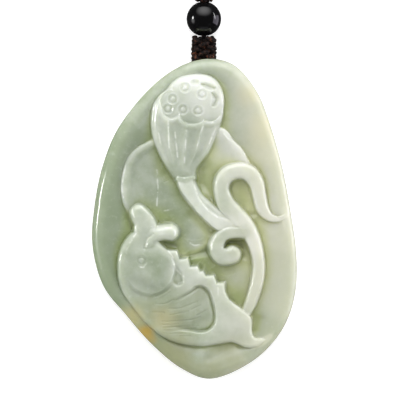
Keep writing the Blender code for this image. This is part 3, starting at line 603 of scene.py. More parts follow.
# %% Bead
BEAD_SIDES = 96
BEAD_STEPS = 64
BORE_RADIUS = 0.8 * MM
BORE_CHAMFER = 0.12 * MM
STONE_BLACK = (0.002, 0.002, 0.0022)
STONE_HAZE = (0.006, 0.006, 0.007)

bead_radius = (bead_high[0] - bead_low[0]) / 2
bead_middle = [(low + high) / 2 for low, high in zip(bead_low, bead_high)]
mouth = math.asin((BORE_RADIUS + BORE_CHAMFER) / bead_radius)
arc = np.linspace(mouth, math.pi - mouth, BEAD_STEPS)
bore_end = bead_radius * math.cos(mouth) - BORE_CHAMFER
profile = np.stack([bead_radius * np.sin(arc), bead_radius * np.cos(arc)], axis=1)
bore = np.stack([np.full(9, BORE_RADIUS), np.linspace(-bore_end, bore_end, 9)], axis=1)
profile = np.vstack([profile, bore])
turn = 2 * math.pi * np.arange(BEAD_SIDES) / BEAD_SIDES
out, along = profile[:, 0, None], profile[:, 1, None]
rings = np.stack([out * np.cos(turn), along + 0 * turn, out * np.sin(turn)], axis=-1) + np.array(bead_middle)
bead = put_in_scene("black_bead", surface_mesh("black_bead", rings, closed=True))
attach(bead, "root")
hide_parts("bead")

black_stone = plain_material("polished_black_stone", (0.003, 0.003, 0.0035), 0.05)
tree = black_stone.node_tree
shader = tree.nodes["Principled BSDF"]
place = node(tree, "ShaderNodeTexCoord", output="Object")
haze = noise(tree, place, 900, detail=4)
fill(tree, shader.inputs["Roughness"], 0.03 + 0.07 * haze.rise(0.45, 0.75))
fill(tree, shader.inputs["Base Color"], blend(tree, haze.rise(0.5, 0.8), STONE_BLACK, STONE_HAZE))
bead.data.materials.append(black_stone)
print("bead faces:", len(bead.data.polygons))

# %% [markdown]
# The stone's outline and its units
#
# Everything on the carving is placed in hundredths of the stone's height, measured from its middle, so
# that one size changes the whole carving. The pebble's outline is a closed curve through a few points. A
# point's depth inside a closed curve, below zero outside, is the measure that all the forms are made from.

# %% Outlines as depths
STONE_WIDTH = 35.4 * MM
STONE_HEIGHT = 55.3 * MM
STONE_THICKNESS = 9.0 * MM
RELIEF_DEPTH = 4.2 * MM
LEFT_ROUNDING = 2.2 * MM
RIGHT_ROUNDING = 1.3 * MM
EDGE_LIP = 0.25 * MM
BACK_ROUNDING = 1.8 * MM
CARVED_CORNER = 0.22 * MM
UNIT_X = STONE_WIDTH / 64.0
UNIT_Y = STONE_HEIGHT / 100.0
CURVE_STEPS = 12
STONE_OUTLINE = [
    (4.3, 50.0), (12.7, 47.8), (19.3, 40.1), (23.2, 30.9), (27.3, 16.8), (30.0, 2.7), (31.9, -11.4),
    (31.4, -23.9), (27.4, -34.8), (18.7, -44.2), (5.9, -50.0), (-3.8, -47.0), (-13.1, -39.5),
    (-21.4, -30.1), (-28.6, -20.8), (-31.9, -8.2), (-31.2, 4.3), (-28.6, 16.8), (-23.7, 28.5),
    (-14.5, 40.1), (-5.1, 47.3)]


def segment_distance(x, y, a, b):
    """Distance from every point to the segment a-b, and how far along it the nearest place is."""
    run = b[:2] - a[:2]
    along = ((x - a[0]) * run[0] + (y - a[1]) * run[1]) / max(run @ run, 1e-18)
    along = np.clip(along, 0.0, 1.0)
    return np.hypot(x - a[0] - along * run[0], y - a[1] - along * run[1]), along


def in_metres(points):
    """Places in units turned into metres, with any half width scaled by the height's unit."""
    p = np.array(points, dtype=float)
    p[:, 0] *= UNIT_X
    p[:, 1:3] *= UNIT_Y
    return p


def closed_curve(points):
    """A smooth closed outline through places in units, in metres."""
    return catmull_rom(in_metres(points), CURVE_STEPS, closed=True)


def stone_curve():
    """The stone's outline, scaled to its exact width and height."""
    curve = catmull_rom(in_metres(STONE_OUTLINE), 2 * CURVE_STEPS, closed=True)
    low, high = curve.min(axis=0), curve.max(axis=0)
    return (curve - (low + high) / 2) * [STONE_WIDTH, STONE_HEIGHT] / (high - low)


def outline_depth(x, y, curve, reach=STONE_HEIGHT):
    """How far each point lies inside a closed curve, below zero outside it, down to -reach."""
    low, high = curve.min(axis=0) - reach, curve.max(axis=0) + reach
    near = (x > low[0]) & (x < high[0]) & (y > low[1]) & (y < high[1])
    near_x, near_y = x[near], y[near]
    nearest = np.full(near_x.shape, reach)
    inside = np.zeros(near_x.shape, dtype=bool)
    for a, b in zip(curve, np.roll(curve, -1, axis=0)):
        nearest = np.minimum(nearest, segment_distance(near_x, near_y, a, b)[0])
        if a[1] != b[1]:
            crosses = (a[1] > near_y) != (b[1] > near_y)
            inside ^= crosses & (near_x < a[0] + (near_y - a[1]) * (b[0] - a[0]) / (b[1] - a[1]))
    depth = np.full(x.shape, -reach)
    depth[near] = np.where(inside, nearest, -nearest)
    return depth


print("stone", 1000 * STONE_WIDTH, "by", 1000 * STONE_HEIGHT, "mm")

# %% [markdown]
# Bands and how forms meet
#
# Stems, lips and lobes are bands: a curve with a half width and a height at each station. A form rises out
# of the ground by a steep wall and rolls over at its edge, as a carver's wheel leaves it. Where two forms
# meet the higher one wins, and the corner between them is filled a little, because a round wheel can't cut
# a sharp inner corner.

# %% Bands, rolled edges and joins
MOTIF_REACH = 9.0 * MM
RIBBON_ROUND = 0.5
WALL_SLOPE = 4.5
LEVEL_SPREAD = 4.2


def band_depth(x, y, stations, reach=0.0):
    """How far each point lies inside a band of changing width, and the band's values there."""
    curve = catmull_rom(in_metres(stations), CURVE_STEPS, closed=False)
    margin = reach + curve[:, 2].max()
    low, high = curve[:, :2].min(axis=0) - margin, curve[:, :2].max(axis=0) + margin
    near = (x > low[0]) & (x < high[0]) & (y > low[1]) & (y < high[1])
    depth = np.full(x.shape, -max(reach, MM))
    values = np.ones((curve.shape[1] - 2,) + x.shape) * MM
    near_x, near_y = x[near], y[near]
    best, kept = depth[near], values[:, near]
    for a, b in zip(curve[:-1], curve[1:]):
        distance, along = segment_distance(near_x, near_y, a, b)
        here = a[2:, None] * (1 - along) + b[2:, None] * along
        better = here[0] - distance > best
        best = np.where(better, here[0] - distance, best)
        kept = np.where(better, here, kept)
    depth[near] = best
    values[:, near] = kept
    return depth, values


def join(a, b, corner=CARVED_CORNER / RELIEF_DEPTH):
    """The higher of two surfaces, with the corner between them filled in a little."""
    mix = np.clip(0.5 + 0.5 * (a - b) / corner, 0.0, 1.0)
    return b * (1 - mix) + a * mix + corner * mix * (1 - mix)


def blended(x, y, levels):
    """A smooth surface through a few levels, each felt most near its own place."""
    total = np.zeros(x.shape)
    weights = np.full(x.shape, 1e-12)
    spread = LEVEL_SPREAD * UNIT_Y
    for place_x, place_y, level in levels:
        away = ((x - place_x * UNIT_X) ** 2 + (y - place_y * UNIT_Y) ** 2) / spread ** 2
        weight = np.exp(-away) + 1e-4 / (1 + away)
        total += weight * level
        weights += weight
    return total / weights


def rounded(depth, edge, level, roll):
    """A form at a level, its edge rolling down over a width, with a steep wall outside it."""
    share = np.clip(depth / edge, 0.0, 1.0)
    top = level - roll * (1 - np.sqrt(1 - (1 - share) ** 2))
    return np.where(depth > 0, top, level - roll + WALL_SLOPE * depth / RELIEF_DEPTH)


def band_form(x, y, stations, roll, reach=MOTIF_REACH):
    """A ribbon with a rounded back."""
    depth, (width, level) = band_depth(x, y, stations, reach)
    return rounded(depth, RIBBON_ROUND * width, level, roll), depth


def hollows(x, y, cuts):
    """The depth that a set of hollows takes away."""
    total = np.zeros(x.shape)
    for stations, amount in cuts:
        depth, (width,) = band_depth(x, y, stations)
        total = np.maximum(total, amount * smooth_step(depth / width))
    return total


print("forms: bands, rolled edges and joins")

# %% [markdown]
# The seed pod
#
# The lotus pod is a funnel with flutes that all point at one apex near its stem. Its open face is sunk a
# little below the lip, with three lobes along the lower edge and six seeds, each a dome in a ringed socket.

# %% The pod and its stem
ROUND_ROLL = 0.20
POD_ROLL = 0.36
FACET_ROLL = 0.06
POD_OUTLINE = [
    (-13.4, 31.5), (-12.8, 35.3), (-11.0, 38.2), (-8.5, 40.4), (-6.7, 42.6), (-4.2, 44.2), (-0.7, 45.0),
    (3.0, 45.0), (5.9, 43.9), (7.9, 41.7), (9.1, 38.4), (9.1, 34.6), (8.5, 30.6), (7.1, 26.8),
    (4.6, 21.2), (1.5, 17.1), (0.4, 14.8), (0.4, 12.6), (-2.6, 11.6), (-5.4, 12.0), (-7.6, 14.6),
    (-10.4, 19.2), (-12.5, 24.0), (-13.4, 28.1)]
POD_STEM = [
    (-3.3, 14.0, 2.2, 0.56), (-2.7, 11.8, 2.7, 0.60), (-1.3, 8.8, 2.7, 0.61), (0.4, 6.2, 2.6, 0.61),
    (2.6, 4.0, 2.6, 0.62), (5.1, 1.7, 2.8, 0.66), (8.0, -0.6, 2.9, 0.72), (11.5, -2.4, 2.9, 0.76)]
STEM_FACET = [
    (-3.3, 14.0, 1.9, 0.62), (-2.8, 11.8, 2.3, 0.68), (-1.9, 9.0, 2.0, 0.69), (0.0, 5.9, 1.6, 0.68),
    (1.7, 3.5, 1.5, 0.69), (4.0, 1.4, 1.6, 0.72), (6.9, -0.9, 1.9, 0.77), (10.5, -2.6, 2.4, 0.79)]
POD_COLLAR = [(-5.0, 12.4, 0.7, 0.66), (-2.7, 12.1, 0.8, 0.715), (-0.4, 12.8, 0.7, 0.66)]
# The pod: its crest's level at a few heights, and flutes that keep their place across it
POD_CRESTS = [(12.0, 0.76), (20.0, 0.81), (30.0, 0.88), (36.0, 0.91), (45.0, 0.88)]
POD_AXIS = -2.5
POD_ROUND = 4.4 * MM
FLUTE_ANGLE = math.radians(30.0)
FLUTE_DEPTH = 0.055
FLUTE_START = 13.0
FLUTE_RUN = 9.0

# The pod's open face is a few lobes, sunk towards the lower left, where it has a raised lip
POD_FACE = [
    [(-7.4, 36.7, 3.4), (-7.0, 34.0, 3.1)],
    [(-3.8, 40.6, 3.3), (-2.6, 40.6, 3.3)],
    [(0.8, 37.5, 6.4), (2.3, 37.2, 6.4)],
    [(-0.9, 33.4, 4.2), (-0.1, 33.4, 4.2)],
    [(4.8, 33.7, 3.8), (5.4, 34.0, 3.5)]]
FACE_CENTRE = (-1.3, 37.0)
FACE_FACING = (-0.45, -0.89)
FACE_SINK = 0.085
FACE_WALL = 0.3 * MM
LIP_WIDTH = 0.6 * MM
LIP_RISE = 0.022
SEEDS = [
    (-2.9, 40.8), (2.4, 38.7), (-6.7, 37.2), (-8.2, 34.2), (-3.5, 34.0), (1.2, 33.6)]
SEED_SOCKET = 1.75
SEED_RADIUS = 1.0
SEED_SINK = 0.04
SEED_RISE = 0.012
POD_HOLLOWS = [
    ([(-0.2, 42.5, 1.2), (0.6, 42.5, 1.2)], 0.06),
    ([(2.4, 41.9, 0.6), (4.4, 41.2, 1.3), (6.2, 40.7, 0.8)], 0.11),
    ([(5.7, 39.1, 0.6), (6.7, 37.4, 1.4), (6.1, 35.6, 1.2)], 0.11)]


def stud(x, y, place, socket, radius, sink, rise):
    """A small dome in a ringed socket, as a height to add."""
    away = np.hypot(x - place[0] * UNIT_X, y - place[1] * UNIT_Y) / UNIT_Y
    dome = (sink + rise) * smooth_step(1.6 * (1 - away / radius))
    return dome - sink * smooth_step(3 * (1 - away / socket))


def pod_across(x, y, curve):
    """Place across the pod, from -1 at its left side to 1 at its right."""
    sides = []
    for side in (-1, 1):
        points = curve[(curve[:, 0] - POD_AXIS * UNIT_X) * side > 0]
        points = points[np.argsort(points[:, 1])]
        sides.append(np.interp(y, points[:, 1], points[:, 0]))
    left, right = sides
    return np.clip((2 * x - left - right) / np.maximum(right - left, MM), -1.0, 1.0)


def face_depth(x, y):
    """How far each point lies inside the pod's open face, which is a few lobes run together."""
    return np.max([band_depth(x, y, lobe, 2 * MM)[0] for lobe in POD_FACE], axis=0)


def pod_face(x, y, pod, face):
    """The pod's surface with its open face sunk, a lip along the lower left, and seeds in their sockets."""
    lowness = (x / UNIT_X - FACE_CENTRE[0]) * FACE_FACING[0] + (y / UNIT_Y - FACE_CENTRE[1]) * FACE_FACING[1]
    fade = smooth_step((lowness + 4) / 8)
    lip = smooth_step(1 - np.abs(face / LIP_WIDTH + 0.5))
    pod = pod + fade * (LIP_RISE * lip - FACE_SINK * smooth_step(face / FACE_WALL))
    for seed in SEEDS:
        pod = pod + stud(x, y, seed, SEED_SOCKET, SEED_RADIUS, SEED_SINK, SEED_RISE)
    return pod - hollows(x, y, POD_HOLLOWS)


def pod_form(x, y):
    """The lotus pod: a fluted funnel with an open, seeded face."""
    curve = closed_curve(POD_OUTLINE)
    inside = outline_depth(x, y, curve, MOTIF_REACH)
    heights, levels = zip(*POD_CRESTS)
    pod = rounded(inside, POD_ROUND, np.interp(y / UNIT_Y, heights, levels), POD_ROLL)
    turn = np.arcsin(pod_across(x, y, curve)) / FLUTE_ANGLE
    fluted = smooth_step(inside / MM) * smooth_step((y / UNIT_Y - FLUTE_START) / FLUTE_RUN)
    face = face_depth(x, y)
    fluted *= smooth_step(-face / MM)
    pod = pod - FLUTE_DEPTH * np.abs(np.sin(math.pi * turn)) * fluted
    return pod_face(x, y, pod, face), inside


print("pod with", len(SEEDS), "seeds")

# %% [markdown]
# The scrolling stem
#
# A second stem comes in from the right rim, loops over to the left, runs down behind the fin and throws off
# a curl. It is one long band and a short one, rounded across like a rope.

# %% The scroll and the curl
SCROLL = [
    (30.0, 2.6, 0.8, 0.50), (28.4, 0.8, 0.9, 0.53), (25.9, -0.1, 1.0, 0.58), (23.2, 0.7, 1.4, 0.64),
    (21.2, 3.3, 2.0, 0.70), (20.3, 7.1, 2.1, 0.74), (19.3, 11.2, 2.3, 0.77), (17.1, 14.1, 2.5, 0.79),
    (13.7, 14.9, 2.4, 0.80), (10.5, 13.8, 2.5, 0.80), (8.8, 11.5, 2.4, 0.80), (8.6, 8.4, 2.4, 0.79),
    (9.9, 4.6, 2.7, 0.79), (12.4, 1.5, 2.9, 0.80), (15.6, -2.0, 2.8, 0.82), (18.1, -6.0, 2.3, 0.81),
    (19.5, -10.4, 2.0, 0.79), (20.1, -15.1, 1.9, 0.76), (19.5, -20.1, 2.0, 0.70),
    (18.2, -24.5, 1.9, 0.65), (17.1, -27.3, 1.8, 0.62), (15.7, -30.0, 1.6, 0.58)]
CURL = [
    (15.6, -4.2, 2.0, 0.82), (13.1, -4.2, 1.8, 0.83), (10.5, -4.5, 1.8, 0.83), (8.4, -5.6, 2.0, 0.83),
    (7.1, -7.6, 2.3, 0.83), (7.1, -9.8, 2.4, 0.84), (8.4, -11.5, 2.6, 0.84), (10.2, -11.7, 2.6, 0.84),
    (11.8, -11.1, 2.7, 0.84)]

print("scroll stations:", len(SCROLL) + len(CURL))

# %% [markdown]
# The carp
#
# The carp curls round the lower left with its mouth open upwards. Its body is a closed outline whose
# surface passes smoothly through a few levels. A disc makes the gill plate, which stands clear except
# towards the mouth. The flank is hollowed against the toothed back, and two thick bands are the lips.

# %% The carp
EDGE_ROLL = 0.22
HOLLOW_WALL = 0.7 * MM
HOLLOW_REACH = 1.7 * MM
HOLLOW_FLOOR = 0.15
FISH_FRONT = [
    (-6.0, -9.8), (-8.2, -9.6), (-9.6, -8.5), (-11.4, -6.7), (-13.9, -4.2), (-16.4, -3.2), (-18.6, -4.0),
    (-20.4, -5.4), (-22.0, -7.6), (-23.3, -10.7), (-23.8, -14.5), (-23.6, -18.6), (-22.2, -23.1),
    (-19.5, -27.0), (-15.4, -32.2), (-10.4, -36.4), (-4.5, -38.9), (1.8, -39.7), (7.4, -39.1),
    (11.8, -38.6), (16.2, -40.2), (19.9, -39.9), (22.8, -38.1), (24.3, -36.1), (21.8, -37.1),
    (19.0, -36.9), (18.1, -35.1), (17.9, -31.1), (15.2, -28.4), (11.2, -25.4), (9.7, -22.9)]
# The carp's lips, thick lobes that its body runs out into: x, y, half width
UPPER_LIP = [(-17.3, 1.8, 2.6), (-16.4, 0.4, 3.0), (-15.3, -1.7, 3.4), (-15.0, -4.5, 3.9)]
LOWER_LIP = [(-7.4, -4.2, 2.6), (-9.6, -4.2, 2.4), (-12.2, -5.0, 2.5), (-14.0, -7.4, 2.0)]
LIP_SWELL = 0.08
LIP_SWELL_WIDTH = 1.1 * MM
FISH_LEVELS = [
    (-17.0, 1.0, 0.84), (-7.5, -4.5, 0.86), (-13.5, -13.0, 1.03), (-14.5, -6.0, 0.86),
    (-21.5, -14.0, 0.88), (-19.0, -24.0, 0.80), (-5.5, -14.0, 0.84), (1.0, -18.0, 0.84),
    (8.0, -25.0, 0.82), (12.5, -31.0, 0.80), (17.0, -38.0, 0.70), (25.0, -36.0, 0.50),
    (4.0, -38.0, 0.74), (-8.0, -35.0, 0.76), (-5.0, -26.0, 0.84)]
# How widely the carp's edge rolls over, in millimetres: soft on head and belly, tight on fin and tail
FISH_EDGES = [
    (-21.0, -14.0, 1.2), (-14.0, -2.0, 1.0), (-18.0, -27.0, 1.2), (-5.0, -37.0, 1.0), (6.0, -38.0, 0.9),
    (-4.0, -11.0, 0.4), (1.0, -15.0, 0.4), (7.0, -18.5, 0.4), (10.0, -23.0, 0.5), (17.0, -30.0, 0.5),
    (18.0, -36.0, 0.5), (15.0, -40.0, 0.7)]

# The fin's teeth: their tips, and where the notch after each tip lies from it and from the next tip
FIN_TIPS = [(-5.4, -10.0), (-2.1, -12.2), (1.0, -14.6), (2.8, -16.1), (6.2, -17.5), (9.6, -19.7)]
NOTCH_RIGHT = 0.9
NOTCH_BELOW = 0.2

# The gill plate is a disc whose edge stands clear except towards the mouth, with a trough round it
GILL_CENTRE = (-13.7, -15.9)
GILL_RADIUS = 7.1
GILL_STEP = 0.04
GILL_TROUGH = 0.05
TROUGH_WIDTH = 3.6
GILL_FACING = (0.64, -0.77)
EYE = (-16.4, -13.1)
EYE_SOCKET = 1.45
EYE_RADIUS = 1.1
EYE_SINK = 0.035
EYE_RISE = 0.0

# The carp's flank and the hollow behind its gill plate sink towards their right-hand edges
FLANK_OUTLINE = [
    (-1.5, -21.9), (0.4, -20.5), (2.9, -20.5), (5.2, -22.5), (6.5, -26.2), (7.2, -30.0), (6.6, -33.2),
    (4.6, -35.2), (1.6, -35.8), (-0.9, -35.4), (-5.7, -34.9), (-11.4, -33.6), (-15.1, -28.6),
    (-13.2, -24.5), (-7.0, -24.5)]
FLANK_DEPTH = 0.30
FLANK_FADE = (-9.0, 5.0)
GILL_HOLLOW_OUTLINE = [
    (-5.9, -13.9), (-4.5, -15.4), (-3.1, -17.9), (-3.2, -20.3), (-5.4, -21.4), (-7.6, -19.2),
    (-6.5, -16.4)]
GILL_HOLLOW_DEPTH = 0.09
GILL_HOLLOW_FADE = (-9.0, -4.5)


def scooped(x, y, outline, amount, fade):
    """A hollow with a steep wall along its outline, rising inwards and fading out to the left."""
    depth = outline_depth(x, y, closed_curve(outline), MM)
    rise = (1 - HOLLOW_FLOOR) * smooth_step(depth / HOLLOW_REACH)
    profile = smooth_step(depth / HOLLOW_WALL) * (1 - rise)
    return amount * profile * smooth_step((x / UNIT_X - fade[0]) / (fade[1] - fade[0]))


def fish_curve():
    """The carp's outline in metres: a smooth front, and the fin's teeth stepping along its back."""
    fin = [FIN_TIPS[0]]
    for tip, after in zip(FIN_TIPS[:-1], FIN_TIPS[1:]):
        fin += [(tip[0] + NOTCH_RIGHT, after[1] - NOTCH_BELOW), after]
    front = catmull_rom(in_metres(FISH_FRONT), CURVE_STEPS, closed=False)
    return np.vstack([front, in_metres(fin[::-1])])


def gill_plate(x, y):
    """The step up to the gill plate and the trough round it, as a height to add."""
    to_x, to_y = x - GILL_CENTRE[0] * UNIT_X, y - GILL_CENTRE[1] * UNIT_Y
    away = np.hypot(to_x, to_y)
    facing = (to_x * GILL_FACING[0] + to_y * GILL_FACING[1]) / np.maximum(away, 0.01 * MM)
    free = smooth_step((facing + 0.6) / 1.0)
    outside = (away / UNIT_Y - GILL_RADIUS) / TROUGH_WIDTH
    trough = GILL_TROUGH * smooth_step(outside * 4) * (1 - smooth_step(outside * 1.25 - 0.25))
    step = GILL_STEP * (1 - smooth_step(outside * 2.5))
    return free * (step - trough) + GILL_STEP * (1 - free)


def fish_form(x, y):
    """The carp: a curled body with a hollowed flank, a toothed back, a gill plate and thick lips."""
    upper = band_depth(x, y, UPPER_LIP, MOTIF_REACH)[0]
    lower = band_depth(x, y, LOWER_LIP, MOTIF_REACH)[0]
    inside = np.max([outline_depth(x, y, fish_curve(), MOTIF_REACH), upper, lower], axis=0)
    level = blended(x, y, FISH_LEVELS) - GILL_STEP + gill_plate(x, y)
    level = level - scooped(x, y, FLANK_OUTLINE, FLANK_DEPTH, FLANK_FADE)
    level = level - scooped(x, y, GILL_HOLLOW_OUTLINE, GILL_HOLLOW_DEPTH, GILL_HOLLOW_FADE)
    level = level + stud(x, y, EYE, EYE_SOCKET, EYE_RADIUS, EYE_SINK, EYE_RISE)
    level = level + LIP_SWELL * smooth_step(lower / LIP_SWELL_WIDTH)
    return rounded(inside, blended(x, y, FISH_EDGES) * MM, level, EDGE_ROLL), inside


print("carp with", len(FIN_TIPS), "teeth along its back")

# %% [markdown]
# Leaf, ground and the whole relief
#
# The lotus leaf lies behind the other forms with a raised, rolled edge. The ground falls from the rim
# towards the motifs and is deepest right beside them. A few places are hollowed further, which lets the
# pod's stem, the loop and the curl stand free. The whole relief is then the highest of all these forms.

# %% The leaf, the ground and the relief
LEAF_OUTLINE = [
    (-12.9, 24.9), (-17.6, 22.4), (-21.1, 18.4), (-22.8, 12.1), (-22.6, 6.5), (-20.8, 1.2),
    (-17.9, -4.2), (-9.8, -8.9), (-2.0, -11.8), (4.3, -8.2), (9.3, -7.9), (17.4, -1.0), (21.2, 7.1),
    (19.9, 13.4), (17.4, 17.4), (15.2, 21.5), (12.4, 24.3), (8.7, 28.4), (-2.3, 30.9)]
GROUND_LEVELS = [
    (-22.0, 8.0, 0.42), (-17.0, 20.0, 0.36), (-13.0, 8.0, 0.26), (-9.0, 17.0, 0.14),
    (-7.0, 3.0, 0.20), (-19.0, -2.0, 0.24), (-6.0, -6.0, 0.24), (3.0, 14.0, 0.04), (6.5, 5.0, 0.22),
    (3.0, -3.5, 0.24), (8.5, 20.0, 0.22), (14.0, 23.0, 0.42), (11.0, 27.0, 0.42), (14.0, 8.0, 0.24),
    (1.5, -13.0, 0.18), (7.0, -17.0, 0.30), (13.0, -18.0, 0.34), (13.0, -24.0, 0.24),
    (11.5, -8.0, 0.12), (18.0, 0.0, 0.28)]
GROUND_HOLLOWS = [
    ([(14.5, 10.7, 2.3), (14.8, 7.1, 2.7), (15.7, 3.7, 1.7)], 0.05),
    ([(2.7, 14.9, 2.3), (2.9, 11.2, 2.5), (5.2, 6.8, 2.0)], 0.08),
    ([(1.9, 15.9, 1.6), (1.9, 13.7, 1.7)], 0.06),
    ([(-1.3, 1.2, 2.3), (3.3, -2.9, 2.3), (4.9, -4.2, 1.9)], 0.06),
    ([(-1.3, -11.4, 1.6), (3.7, -10.1, 2.2)], 0.12),
    ([(10.5, -7.4, 1.6), (13.1, -6.7, 1.6), (14.9, -8.2, 1.5)], 0.10),
    ([(-20.4, 0.2, 2.8), (-19.2, -2.6, 2.2)], 0.06),
    ([(19.6, -34.5, 2.8), (20.3, -31.1, 2.8)], 0.09),
    ([(13.5, -39.8, 2.6), (9.5, -41.4, 3.4), (4.5, -43.4, 2.6)], 0.05),
    ([(-9.2, -7.4, 1.6), (-5.7, -8.4, 1.7)], 0.07),
    ([(16.5, 0.8, 1.9), (19.9, 2.1, 1.6)], 0.07)]
RIM_LEVEL = 0.52
FOOT_LEVEL = 0.28
RIM_FLAT = 1.6 * MM
NEARNESS = 0.8 * MM
GROUND_FALL = 2.2
INNER_START = 5.0 * MM
INNER_END = 9.0 * MM
LEAF_RISE = 0.09
LEAF_CREST = 0.8 * MM
LEAF_RIM_WIDTH = 2.1 * MM
LEAF_LOBE_WIDTH = 5.5 * MM
LEAF_LOBE_START = 9.0
LEAF_PLAIN_X = -5.0
LEAF_PLAIN_Y = 10.0
LEAF_EDGE = 0.7 * MM
LEAF_ROLL = 0.10


def leaf_form(x, y, surface):
    """The lotus leaf: the inner ground with a raised, rounded edge."""
    depth = outline_depth(x, y, closed_curve(LEAF_OUTLINE), MOTIF_REACH)
    right_lobe = smooth_step(x / UNIT_X / LEAF_LOBE_START)
    width = LEAF_RIM_WIDTH + (LEAF_LOBE_WIDTH - LEAF_RIM_WIDTH) * right_lobe
    left, top = (LEAF_PLAIN_X - x / UNIT_X) / 6, (y / UNIT_Y - LEAF_PLAIN_Y) / 6
    raised = np.maximum(smooth_step(left), smooth_step(top))
    edge = LEAF_RISE * raised * (1 - smooth_step((depth - LEAF_CREST) / (width - LEAF_CREST)))
    return rounded(depth, LEAF_EDGE, surface + edge, LEAF_ROLL), depth


def edge_radius(x):
    """The radius that the stone's edge is rounded to, fuller on its left side."""
    return LEFT_ROUNDING + (RIGHT_ROUNDING - LEFT_ROUNDING) * smooth_step(x / STONE_WIDTH + 0.5)


def edge_drop(x, depth):
    """How far the rolled edge has fallen below the carving, at a depth inside the stone's outline."""
    share = np.clip(1 - depth / edge_radius(x), 0.0, 1.0)
    return edge_radius(x) * (1 - np.sqrt(1 - share ** 2))


def relief(x, y):
    """Height of the carved face above the back."""
    shapes = [band_form(x, y, POD_STEM, ROUND_ROLL), band_form(x, y, STEM_FACET, FACET_ROLL),
              band_form(x, y, SCROLL, ROUND_ROLL), band_form(x, y, CURL, ROUND_ROLL), pod_form(x, y),
              band_form(x, y, POD_COLLAR, FACET_ROLL), fish_form(x, y)]
    inner = blended(x, y, GROUND_LEVELS)
    leaf, leaf_inside = leaf_form(x, y, inner)
    insides = [leaf_inside] + [inside for form, inside in shapes]
    closeness = sum(np.exp(inside / NEARNESS) for inside in insides)
    to_motif = np.maximum(-NEARNESS * np.log(closeness), 0.0)
    stone_depth = outline_depth(x, y, stone_curve())
    from_rim = np.maximum(stone_depth - RIM_FLAT, 0.0)
    share = from_rim / (from_rim + to_motif + 0.5 * MM)
    slope = RIM_LEVEL - (RIM_LEVEL - FOOT_LEVEL) * share ** GROUND_FALL
    deep = smooth_step((from_rim - INNER_START) / (INNER_END - INNER_START))
    ground = slope + (np.minimum(inner, slope) - slope) * deep
    level = join(ground, leaf) - hollows(x, y, GROUND_HOLLOWS)
    for form, inside in shapes:
        level = join(level, form)
    height = STONE_THICKNESS - RELIEF_DEPTH * (1 - np.clip(level, -0.2, 1.0))
    return height - edge_drop(x, stone_depth)


print("relief", 1000 * RELIEF_DEPTH, "mm deep")

# %% [markdown]
# Fine carving
#
# The last cuts of the tool are too fine for the imported solids: shallow lines that follow the carp's
# flank, a crease between its lips, scratches on the leaf, and small drilled specks. Thin ridges also run
# along the edges of many forms, and the finish paints the same lines whitish as painted highlights. Each is
# a thin band again, with a rounded groove or ridge across it instead of a flat top, and its height is a
# share of the relief's depth.

# %% Grooves and ridges
FLANK_LINES = [
    [(-7.9, -27.9), (-4.5, -27.8), (0.8, -25.8)], [(-7.6, -30.0), (-2.0, -28.9)],
    [(-1.0, -28.3), (1.8, -27.0)], [(0.8, -30.1), (4.0, -28.4)],
    [(-10.1, -32.0), (-1.3, -31.5), (1.8, -30.5)], [(-9.8, -33.0), (-5.1, -32.8)],
    [(-9.8, -33.9), (-0.7, -33.3)], [(-9.2, -34.8), (-1.3, -34.5), (1.2, -33.4)],
    [(-7.6, -35.8), (-2.9, -35.6)], [(-4.5, -36.6), (-1.3, -36.4)],
    [(-12.0, -26.5), (-9.0, -26.4), (-6.5, -25.2)], [(-13.2, -29.0), (-9.5, -29.2)]]
LEAF_SCRATCHES = [
    [(-11.7, 15.2), (-11.5, 10.0), (-11.8, 4.0)], [(-10.1, 2.4), (-4.8, 3.7)], [(-9.4, 13.3), (-8.9, 13.9)],
    [(-9.4, 11.4), (-8.1, 12.0)], [(-23.3, -1.0), (-23.2, -2.4)], [(-24.6, -5.3), (-24.1, -6.0)],
    [(-1.3, -7.8), (2.7, -8.0)]]
FIN_CREASES = [[(7.4, -21.4), (7.6, -23.9)], [(-8.5, -10.1), (-7.9, -11.7), (-6.7, -14.2)]]
LIP_CREASE = [(-12.9, -4.8), (-14.2, -6.0), (-14.8, -7.3), (-15.4, -9.2)]
STREAK_RIDGES = [[(-12.0, -24.7), (-10.1, -23.9), (-7.6, -22.3)], [(6.8, 44.0), (8.6, 42.4), (10.2, 40.3)]]
# Ridges down the pod's flutes, which the finish also paints whitish as highlights
POD_RIDGE_AND_HIGHLIGHT_LINES = [[(-11.4, 27.8), (-10.4, 23.1)], [(-8.1, 30.3), (-7.8, 22.1)], [(-2.4, 28.7), (-3.1, 17.1)],
               [(2.7, 28.7), (1.0, 22.8)], [(6.8, 28.4), (4.6, 23.1)], [(-6.0, 27.0), (-5.2, 19.0)]]
FACE_EDGE = [(-9.9, 39.8), (-9.2, 42.2), (-7.0, 44.0), (-4.6, 44.4)]
GROUND_ARCS = [[(8.4, -17.5), (10.2, -18.1), (12.4, -17.3)], [(-2.3, -6.5), (0.6, -6.9), (2.6, -6.3)],
               [(-3.4, -6.1), (-2.0, -7.2)], [(5.6, -15.4), (7.5, -14.2)], [(14.0, -12.2), (16.0, -13.4)]]
